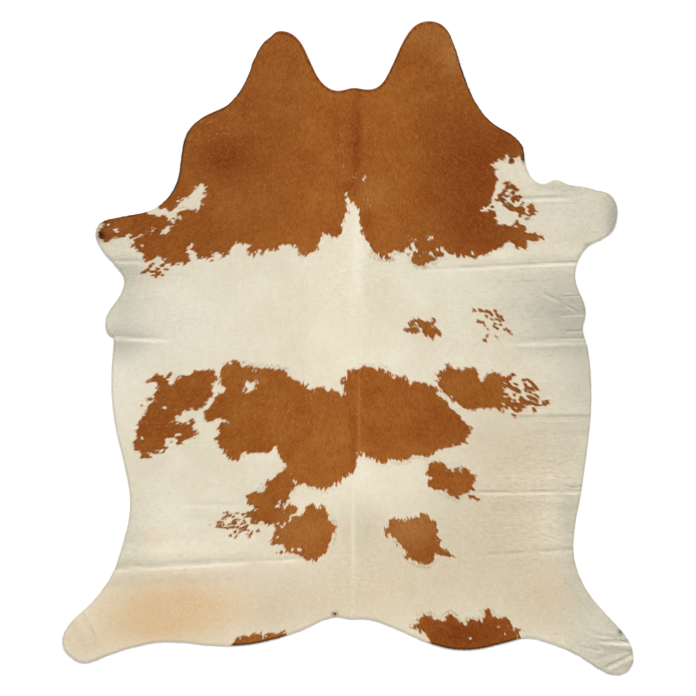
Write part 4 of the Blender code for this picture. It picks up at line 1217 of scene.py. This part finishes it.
def lit_and_shaded(x, y):
    """How much painted highlight and painted shade the coat takes along the folds."""
    pale = np.zeros_like(x)
    dusty = np.zeros_like(x)
    uneven = ease(0.9 + 0.8 * ripple(x, y, FOLD_LIGHT_SIZE, FOLD_LIGHT_SEED))
    for lit_fold in FOLD_LIGHT_LINES:
        across, fade = beside_fold(lit_fold, x, y)
        fade = ease(2.0 * fade) * uneven
        # A painted highlight on the side of the crease that faces the lamp, and painted shade on the side
        # that faces away.
        pale = np.maximum(pale, lit_fold.pale * fade * light_line_beside(across + lit_fold.width, lit_fold.width))
        dusty = np.maximum(dusty, lit_fold.dusty * fade * light_line_beside(across - lit_fold.width, lit_fold.width))
    return pale, dusty


print("rubbed folds:", len(FOLD_LIGHT_LINES))

# %% [markdown]
# ## The leather
#
# Under the coat lies a sheet of leather two millimetres thick. The real one is a single skin, so
# this is a single mesh: the cut line is filled with an even net of points, every point is lifted to
# its height in the folds, and Solidify gives it its thickness. Its top carries the colour that shows
# between the locks, its cut edge is raw, and its underside is napped like suede.

# %% Net of points
LEATHER = 0.0020
NET_SPACING = 0.0098
NET_MARGIN = 0.6 * NET_SPACING


def net_points():
    """A staggered net of places inside the cut line."""
    row_step = NET_SPACING * math.sqrt(3.0) / 2.0
    places = []
    for row, y in enumerate(np.arange(low[1], high[1], row_step)):
        xs = np.arange(low[0], high[0], NET_SPACING) + (row % 2) * NET_SPACING / 2.0
        places.append(np.column_stack([xs, np.full_like(xs, y)]))
    places = np.vstack(places)
    inside = read_chart(edge_chart, places[:, 0], places[:, 1]) > NET_MARGIN
    return places[inside]


def flat_net():
    """The cut line filled with triangles, as places and faces."""
    places = np.vstack([cut_line, net_points()])
    count = len(cut_line)
    edges = [(index, (index + 1) % count) for index in range(count)]
    made = delaunay_2d_cdt([Vector(place) for place in places], edges, [], 1, 1e-6)
    return np.array([tuple(place) for place in made[0]]), np.array(made[2])


net, net_faces = flat_net()
print("net:", len(net), "points,", len(net_faces), "faces")

# %% What every piece carries at its points


def carry(mesh, name, values):
    """Store a number for each point of a mesh, for its material to read."""
    attribute = mesh.attributes.new(name, "FLOAT", "POINT")
    attribute.data.foreach_set("value", np.ascontiguousarray(values, np.float32))


def mesh_from(name, places, faces):
    """A mesh from arrays of places and triangles."""
    mesh = bpy.data.meshes.new(name)
    mesh.vertices.add(len(places))
    mesh.vertices.foreach_set("co", np.ascontiguousarray(places, np.float32).ravel())
    mesh.loops.add(faces.size)
    mesh.loops.foreach_set("vertex_index", np.ascontiguousarray(faces, np.int32).ravel())
    mesh.polygons.add(len(faces))
    mesh.polygons.foreach_set("loop_start", np.arange(0, faces.size, 3, dtype=np.int32))
    mesh.update(calc_edges=True)
    mesh.validate()
    return mesh


BAKE_SPAN = 1.02 * max(high[0] - low[0], high[1] - low[1])


def bake_map(mesh, turned=None):
    """A map for the export: the rug seen from above, or two half-size views for top and underside."""
    corners = np.zeros(len(mesh.loops), np.int32)
    mesh.loops.foreach_get("vertex_index", corners)
    places = np.zeros(len(mesh.vertices) * 3, np.float32)
    mesh.vertices.foreach_get("co", places)
    flat = places.reshape(-1, 3)[corners, :2]
    flat = (flat - (low[:2] + high[:2]) / 2.0) / BAKE_SPAN + 0.5
    if turned is not None:
        flat = flat * 0.5
        flat[turned, 0] += 0.5
    layer = mesh.uv_layers.new(name="OFBake")
    layer.data.foreach_set("uv", np.ascontiguousarray(flat, np.float32).ravel())


def place_piece(name, mesh):
    """Put a finished mesh into the scene as a piece of the rug."""
    piece = bpy.data.objects.new(name, mesh)
    bpy.context.scene.collection.objects.link(piece)
    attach(piece, "root")
    return piece


print("bake maps span", round(BAKE_SPAN, 2), "m")

# %% [markdown]
# ## Finishes of the leather
#
# The grain side is hardly seen, but it gives the parting and thin places their colour. It takes the
# same brown and cream as the coat, a little darker. The raw edge is pale and fibrous. The suede of
# the underside has a soft nap, faint veins and the greyer bands that the drum leaves. A picture
# could hold all this, but noise that the shader works out, drawn out where the fibres run, needs no
# picture and stays sharp from close by.

# %% Colour chart
CREAM = paint(237, 228, 206)
CREAM_LIGHT = paint(247, 242, 226)
CREAM_GREY_SHADE = paint(192, 191, 176)
CREAM_WARM = paint(228, 197, 150)
CREAM_DUSK = paint(214, 202, 172)
CREAM_RING = paint(146, 130, 100)
# Painted shade, for the folds and the small crinkles.
CREAM_PAINTED_SHADE = paint(186, 178, 154)
CREAM_DARK_AND_SHADOW = paint(86, 84, 60)
CREAM_BLUSH = paint(243, 212, 174)
CREAM_SHADE = paint(208, 196, 168)
BROWN = paint(170, 102, 38)
BROWN_RED = paint(160, 88, 29)
BROWN_LIGHT = paint(190, 128, 62)
BROWN_DEEP = paint(133, 57, 6)
BROWN_EDGE = paint(84, 44, 10)
BROWN_GOLD = paint(180, 124, 68)
BROWN_GLINT = paint(224, 176, 124)
BROWN_SOOT = paint(44, 28, 12)
LEATHER_RAW = paint(214, 196, 160)
LEATHER_SUEDE = paint(196, 186, 168)
LEATHER_VEIN = paint(168, 156, 138)
print("mid brown, as the shader has it:", [round(part, 3) for part in BROWN])

# %% Grain side, raw edge and suede


def cream_colour(bench, place):
    """Cream with its tints and soft clouds, and small crinkles painted in as light and shade."""
    clouds = bench.noise(place, 9.0, 3.0, 0.55)
    drawn = bench.noise(bench.stretched(place, 70.0, 34.0), 1.0, 3.0, 0.6)
    colour = bench.blend(CREAM, CREAM_LIGHT, clouds.ramp(0.42, 0.72) * 0.5)
    colour = bench.blend(colour, CREAM_SHADE, bench.read("dusk"))
    # Lighter, partly painted light.
    colour = bench.blend(colour, CREAM_LIGHT, bench.read("bright_and_lit"))
    colour = bench.blend(colour, CREAM_DUSK, (1.0 - drawn).ramp(0.5, 0.85) * 0.25)
    # Small crinkles painted in as light and shade: painted highlights and painted shade, faint everywhere
    # and strongest in the crinkle zones.
    crinkles = bench.noise(bench.stretched(place, 42.0, 120.0), 1.0, 3.0, 0.6)
    crinkle_light = 0.12 + 0.55 * bench.read("crinkle_light")
    colour = bench.blend(colour, CREAM_LIGHT, crinkles.ramp(0.52, 0.72) * crinkle_light)
    colour = bench.blend(colour, CREAM_PAINTED_SHADE, (1.0 - crinkles).ramp(0.52, 0.74) * crinkle_light)
    colour = bench.blend(colour, CREAM_WARM, bench.read("warm") * (0.6 + 0.8 * clouds))
    # Greyer, partly painted shade on the swells and the curled leg ends.
    return bench.blend(colour, CREAM_GREY_SHADE, bench.read("grey_and_shade"))


def brown_colour(bench, place):
    """Brown with its deep clouds, redder and lighter in places."""
    clouds = bench.noise(place, 11.0, 4.0, 0.6)
    patches = bench.noise(place, 4.5, 2.0)
    drawn = bench.noise(bench.stretched(place, 90.0, 48.0), 1.0, 3.0, 0.6)
    mottle = bench.noise(place, 48.0, 4.0, 0.65)
    colour = bench.blend(BROWN, BROWN_RED, patches.ramp(0.4, 0.65))
    colour = bench.blend(colour, BROWN_LIGHT, clouds.ramp(0.5, 0.85) * 0.4)
    colour = bench.blend(colour, BROWN_DEEP, (1.0 - clouds).ramp(0.45, 0.8) * 0.35)
    colour = bench.blend(colour, BROWN_LIGHT, mottle.ramp(0.52, 0.75) * 0.18)
    colour = bench.blend(colour, BROWN_DEEP, (1.0 - mottle).ramp(0.50, 0.72) * 0.16)
    colour = bench.blend(colour, BROWN_GOLD, bench.read("gold"))
    colour = bench.blend(colour, BROWN_DEEP, bench.read("deep"))
    return bench.blend(colour, BROWN_LIGHT, drawn.ramp(0.55, 0.8) * 0.15)


def grain_finish():
    """The side that the hair grows from."""
    bench = Bench("leather grain side")
    place = bench.place()
    fuzz = bench.noise(place, 260.0, 2.0) - 0.5
    brown = (bench.read("depth") + fuzz * 0.003).ramp(-0.0012, 0.0012)
    colour = bench.blend(cream_colour(bench, place), brown_colour(bench, place), brown)
    fine = bench.noise(bench.stretched(place, 900.0, 300.0), 1.0, 2.0)
    colour = bench.blend(colour, BROWN_EDGE, fine.ramp(0.35, 0.8) * 0.10)
    return bench.dye(colour, 0.55 + 0.2 * fine, 0.3, fine, 0.0006)


def suede_finish():
    """The napped underside."""
    bench = Bench("leather suede side")
    place = bench.place()
    bands = bench.noise(place, 3.5, 3.0)
    nap = bench.noise(place, 420.0, 3.0, 0.65)
    veins = bench.noise(bench.stretched(place, 16.0, 5.0), 1.0, 5.0, 0.6)
    off = veins - 0.5
    line = 1.0 - off.math("ABSOLUTE", off).ramp(0.0, 0.02)
    colour = bench.blend(LEATHER_SUEDE, LEATHER_VEIN, bands.ramp(0.35, 0.7) * 0.6)
    colour = bench.blend(colour, LEATHER_VEIN, line * 0.45)
    colour = bench.blend(colour, LEATHER_RAW, nap.ramp(0.5, 0.75) * 0.35)
    return bench.dye(colour, 0.82 + 0.14 * nap, 0.15, nap, 0.0005)


def raw_edge_finish():
    """The cut edge, pale with short fibres."""
    bench = Bench("leather raw edge")
    place = bench.place()
    fibres = bench.noise(place, 700.0, 3.0, 0.7)
    colour = bench.blend(LEATHER_RAW, LEATHER_VEIN, fibres.ramp(0.4, 0.75))
    return bench.dye(colour, 0.8 + 0.15 * fibres, 0.2, fibres, 0.0003)


leather_finishes = (grain_finish(), suede_finish(), raw_edge_finish())
print("finishes:", [finish.name for finish in leather_finishes])

# %% The sheet itself
SUEDE = 1
RAW_EDGE = 2
SHARP_FROM = math.radians(50.0)


def corner_finish(mesh, finish_of):
    """The finish that each face corner belongs to."""
    sizes = np.zeros(len(mesh.polygons), np.int32)
    mesh.polygons.foreach_get("loop_total", sizes)
    return np.repeat(finish_of, sizes)


def make_leather():
    """The whole skin as one sheet with thickness, its three sides each in their own finish."""
    x, y = net.T
    mesh = mesh_from("hide_leather", np.column_stack([x, y, underside(x, y)]), net_faces)
    carry(mesh, "depth", read_chart(brown_chart, x, y))
    for name, tints in TINTS.items():
        carry(mesh, name, tint_at(tints, x, y))
    for finish in leather_finishes:
        mesh.materials.append(finish)
    thin = bpy.data.objects.new("thin", mesh)
    bpy.context.scene.collection.objects.link(thin)
    thicken = thin.modifiers.new("leather", "SOLIDIFY")
    thicken.thickness = LEATHER
    thicken.offset = 1.0
    thicken.material_offset = SUEDE
    thicken.material_offset_rim = RAW_EDGE
    solid = bpy.data.meshes.new_from_object(thin.evaluated_get(bpy.context.evaluated_depsgraph_get()))
    bpy.data.objects.remove(thin, do_unlink=True)
    solid.name = "hide_leather"
    solid.shade_smooth()
    solid.set_sharp_from_angle(angle=SHARP_FROM)
    finish_of = np.zeros(len(solid.polygons), np.int32)
    solid.polygons.foreach_get("material_index", finish_of)
    bake_map(solid, turned=corner_finish(solid, finish_of) == SUEDE)
    return place_piece("hide_leather", solid)


leather = make_leather()
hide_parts("cowhide")
print("leather:", len(leather.data.polygons), "faces; finishes used:", len(leather.data.materials))

# %% [markdown]
# ## The coat
#
# The hair is a centimetre long and lies almost flat, root towards the backbone and tip away from it.
# Particle hair would hold millions of strands, and strands do not travel well into other programs.
# So the coat is built from locks: flat slips that taper to a point, each standing for a few dozen
# hairs. Their roots sit on a jittered grid, they follow the guides with a little waywardness, and
# they stop where the knife stopped. A lock takes its colour from the patch under its middle, which
# gives the patches their soft, combed edges. Brown and cream locks are separate pieces, left and
# right of the backbone, and the cream of the hind part is one more, so that each has its own map when
# the materials are baked.

# %% Roots and directions
LOCKS_PER_SQUARE_METRE = 268_000
LOCK_LENGTH = (0.0080, 0.0120)
LOCK_WIDTH = (0.0017, 0.0027)
LOCK_LIFT = (0.0005, 0.0019)
LOCK_SWAY = math.radians(13.0)
STRAY_SWAY = 0.5
SWAY_RIPPLES = ((0.6, 0.03, 21), (0.5, 0.009, 22))
LOCK_ROLL = 0.12
OVERHANG = 0.0028
MOST_TRIMMED = 0.8
ROOT_MARGIN = 0.0004
ROOT_SINK = 0.0003
EDGE_BAND = 0.0035
COLOUR_FROM = 0.62
COLOUR_STRAY = 0.0009
SHADE_SPREAD = 0.68
SHADE_DRAWN = 0.16
SHADE_RIPPLE = (0.007, 1.2, 23)
SHADE_LIMIT = 1.5
GLINT_SHADE = 2.5
GLINT_SHARE = 0.10
COAT_SEED = 2024
STRAY_SEED = 7

Locks = namedtuple("Locks", "x y lie_x lie_y length width lift roll shade edge")


def grow_locks():
    """Every lock of the coat: root, direction, length, width, tip height and shade."""
    chance = np.random.default_rng(COAT_SEED)
    step = LOCKS_PER_SQUARE_METRE**-0.5
    x, y = np.meshgrid(np.arange(low[0], high[0], step), np.arange(low[1], high[1], step))
    x = x.ravel() + chance.uniform(-0.5, 0.5, x.size) * step
    y = y.ravel() + chance.uniform(-0.5, 0.5, y.size) * step
    edge = read_chart(edge_chart, x, y)
    rooted = edge > ROOT_MARGIN
    x, y, edge = x[rooted], y[rooted], edge[rooted]
    lie_x, lie_y = hair_lie(x, y)
    sway = LOCK_SWAY * sum(share * ripple(x, y, size, seed) for share, size, seed in SWAY_RIPPLES)
    sway += LOCK_SWAY * chance.normal(0.0, STRAY_SWAY, x.size)
    lie_x, lie_y = (
        lie_x * np.cos(sway) - lie_y * np.sin(sway),
        lie_x * np.sin(sway) + lie_y * np.cos(sway),
    )
    length = chance.uniform(*LOCK_LENGTH, x.size)
    beyond = -read_chart(edge_chart, x + lie_x * length, y + lie_y * length)
    length = length - np.clip(beyond - OVERHANG, 0.0, length * MOST_TRIMMED)
    width = chance.uniform(*LOCK_WIDTH, x.size)
    lift = chance.uniform(*LOCK_LIFT, x.size)
    roll = chance.normal(0.0, LOCK_ROLL, x.size)
    shade = chance.normal(0.0, SHADE_SPREAD, x.size)
    shade = shade + SHADE_DRAWN * combed_ripple(x, y, *SHADE_RIPPLE)
    shade = np.clip(shade, -SHADE_LIMIT, SHADE_LIMIT)
    glints = chance.uniform(size=x.size) < GLINT_SHARE * tint_at(GLINTS, x, y)
    shade = np.where(glints, GLINT_SHADE, shade)
    return Locks(x, y, lie_x, lie_y, length, width, lift, roll, shade, edge)


locks = grow_locks()
middle_x = locks.x + COLOUR_FROM * locks.length * locks.lie_x
middle_y = locks.y + COLOUR_FROM * locks.length * locks.lie_y
stray = np.random.default_rng(STRAY_SEED).normal(0.0, COLOUR_STRAY, middle_x.size)
lock_depth = brown_depth(middle_x, middle_y) + stray
lock_edge = np.minimum(locks.edge, read_chart(edge_chart, middle_x, middle_y))
print("locks:", len(locks.x))

# %% [markdown]
# Cream and brown hair have one finish each. What differs from lock to lock, such as its shade, its
# tints and how near it is to the cut or to a patch's edge, is worked out once and carried at the
# lock's points, and the finish blends its colours by it. Hair is matt, with fine lines along it.

# %% Finishes of the coat


def lock_relief(bench, place):
    """Fine lines along the hair, for relief and gloss."""
    return bench.noise(bench.stretched(place, 1500.0, 420.0), 1.0, 2.0)


def cream_finish():
    """Cream hair: tinted, with painted highlight and painted shade along the folds, blushing beside the
    brown.
    """
    bench = Bench("cream hair")
    place = bench.place()
    colour = cream_colour(bench, place)
    shade = bench.read("shade")
    colour = bench.blend(colour, CREAM_LIGHT, shade.ramp(0.0, 1.2) * 0.35)
    colour = bench.blend(colour, CREAM_DUSK, (0.0 - shade).ramp(0.0, 1.2) * 0.3)
    # Painted highlight and painted shade along the folds.
    colour = bench.blend(colour, CREAM_LIGHT, bench.read("pale"))
    colour = bench.blend(colour, CREAM_PAINTED_SHADE, bench.read("dusty"))
    colour = bench.blend(colour, CREAM_BLUSH, bench.read("halo"))
    colour = bench.blend(colour, CREAM_RING, bench.read("ring"))
    # Darker at the cut: partly darker hair tips, partly painted shade.
    colour = bench.blend(colour, CREAM_RING, bench.read("edge") * 0.28)
    # Nearly black spots, and a painted shadow beside the curled right hind leg.
    colour = bench.blend(colour, CREAM_DARK_AND_SHADOW, bench.read("dark_spots_and_shadow"))
    fine = lock_relief(bench, place)
    return bench.dye(colour, 0.6 + 0.2 * fine, 0.14, fine, 0.0002)


def brown_finish():
    """Brown hair: clouded, darker at the patch edges, darker at the cut with dark tips and painted shade,
    with single pale glints.
    """
    bench = Bench("brown hair")
    place = bench.place()
    colour = brown_colour(bench, place)
    shade = bench.read("shade")
    colour = bench.blend(colour, BROWN_LIGHT, shade.ramp(0.0, 1.2) * 0.55)
    colour = bench.blend(colour, BROWN_DEEP, (0.0 - shade).ramp(0.0, 1.2) * 0.8)
    colour = bench.blend(colour, BROWN_GLINT, shade.ramp(1.6, 2.4))
    colour = bench.blend(colour, BROWN_EDGE, bench.read("ring"))
    # Darker at the cut: partly darker hair tips, partly painted shade.
    colour = bench.blend(colour, BROWN_EDGE, bench.read("edge"))
    colour = bench.blend(colour, BROWN_SOOT, bench.read("dark_spots_and_shadow"))
    fine = lock_relief(bench, place)
    return bench.dye(colour, 0.6 + 0.2 * fine, 0.07, fine, 0.0002)


coat_finishes = {"brown": brown_finish(), "cream": cream_finish()}
print("finishes:", sorted(coat_finishes))

# %% [markdown]
# A lock is one slim triangle: two points at its root, sunk a little into the leather, and one at its
# tip, lifted off it. Some roll to one side, which makes the coat catch the light unevenly. Each piece
# is written as one mesh from arrays, since adding the locks one by one would take many minutes.

# %% Locks as meshes
POINTS_TO_A_LOCK = 3


def lock_mesh(name, chosen, ring, halo):
    """Some of the locks joined in one mesh, three points to a lock: two at its root and its tip."""
    part = Locks(*(values[chosen] for values in locks))
    side_x = -part.lie_y * part.width / 2.0
    side_y = part.lie_x * part.width / 2.0
    tip_x = part.x + part.lie_x * part.length
    tip_y = part.y + part.lie_y * part.length
    ground = underside(part.x, part.y) + LEATHER
    tip_ground = underside(tip_x, tip_y) + LEATHER
    turn = part.roll * part.width / 2.0
    places = np.empty((len(part.x), POINTS_TO_A_LOCK, 3))
    places[:, 0] = np.column_stack([part.x - side_x, part.y - side_y, ground - ROOT_SINK - turn])
    places[:, 1] = np.column_stack([part.x + side_x, part.y + side_y, ground - ROOT_SINK + turn])
    places[:, 2] = np.column_stack([tip_x, tip_y, tip_ground + part.lift])
    faces = np.arange(len(part.x) * POINTS_TO_A_LOCK).reshape(-1, POINTS_TO_A_LOCK)[:, [1, 0, 2]]
    mesh = mesh_from(name, places.reshape(-1, 3), faces)
    x, y = middle_x[chosen], middle_y[chosen]
    # The edge value darkens locks near the cut: partly darker hair tips, partly painted shade.
    carried = {
        "shade": part.shade,
        "edge": ease(1.4 - lock_edge[chosen] / EDGE_BAND),
        "ring": ring,
        "halo": halo,
    }
    carried |= {tint: tint_at(tints, x, y) for tint, tints in TINTS.items()}
    # Painted highlight and painted shade along the folds.
    carried["pale"], carried["dusty"] = lit_and_shaded(x, y)
    for key, values in carried.items():
        carry(mesh, key, np.repeat(values, POINTS_TO_A_LOCK))
    bake_map(mesh)
    return mesh


RING_WIDTH = 0.0055
HALO_WIDTH = 0.0045
ECHO_FROM = 0.0090
ECHO_WIDTH = 0.0030
WORN_SIZE = 0.05
WORN_SEED = 31


def dress(colour, side, chosen):
    """One piece of the coat: brown with its dark edges, or cream with its blush and its echo line."""
    depth = np.abs(lock_depth[chosen])
    x, y = middle_x[chosen], middle_y[chosen]
    worn = 0.5 + 0.5 * ripple(x, y, WORN_SIZE, WORN_SEED)
    if colour == "brown":
        dark = 0.30 + 0.65 * tint_at(DARK_EDGES, x, y)
        ring = dark * ease(1.0 - depth / RING_WIDTH) * ease(0.4 + 1.2 * worn)
        halo = np.zeros_like(ring)
    else:
        line = ease(1.2 - np.abs(depth - ECHO_FROM) / ECHO_WIDTH) * ease(0.4 + worn)
        ring = 0.8 * line * tint_at(ECHO, x, y)
        halo = 0.85 * ease(1.3 - depth / HALO_WIDTH)
    name = f"{colour}_hair_{side}"
    mesh = lock_mesh(name, chosen, ring, halo)
    mesh.materials.append(coat_finishes[colour])
    piece = place_piece(name, mesh)
    print(name, len(mesh.polygons), "locks")
    return piece


# %% The five pieces of the coat
HIND_LINE = -0.46
on_left = locks.x < SPINE_X
is_brown = lock_depth > 0.0
is_hind = locks.y < HIND_LINE
coat = [
    dress("brown", "left", is_brown & on_left),
    dress("brown", "right", is_brown & ~on_left),
    dress("cream", "left", ~is_brown & on_left & ~is_hind),
    dress("cream", "right", ~is_brown & ~on_left & ~is_hind),
    dress("cream", "hind", ~is_brown & is_hind),
]
print("pieces of the coat:", [piece.name for piece in coat])
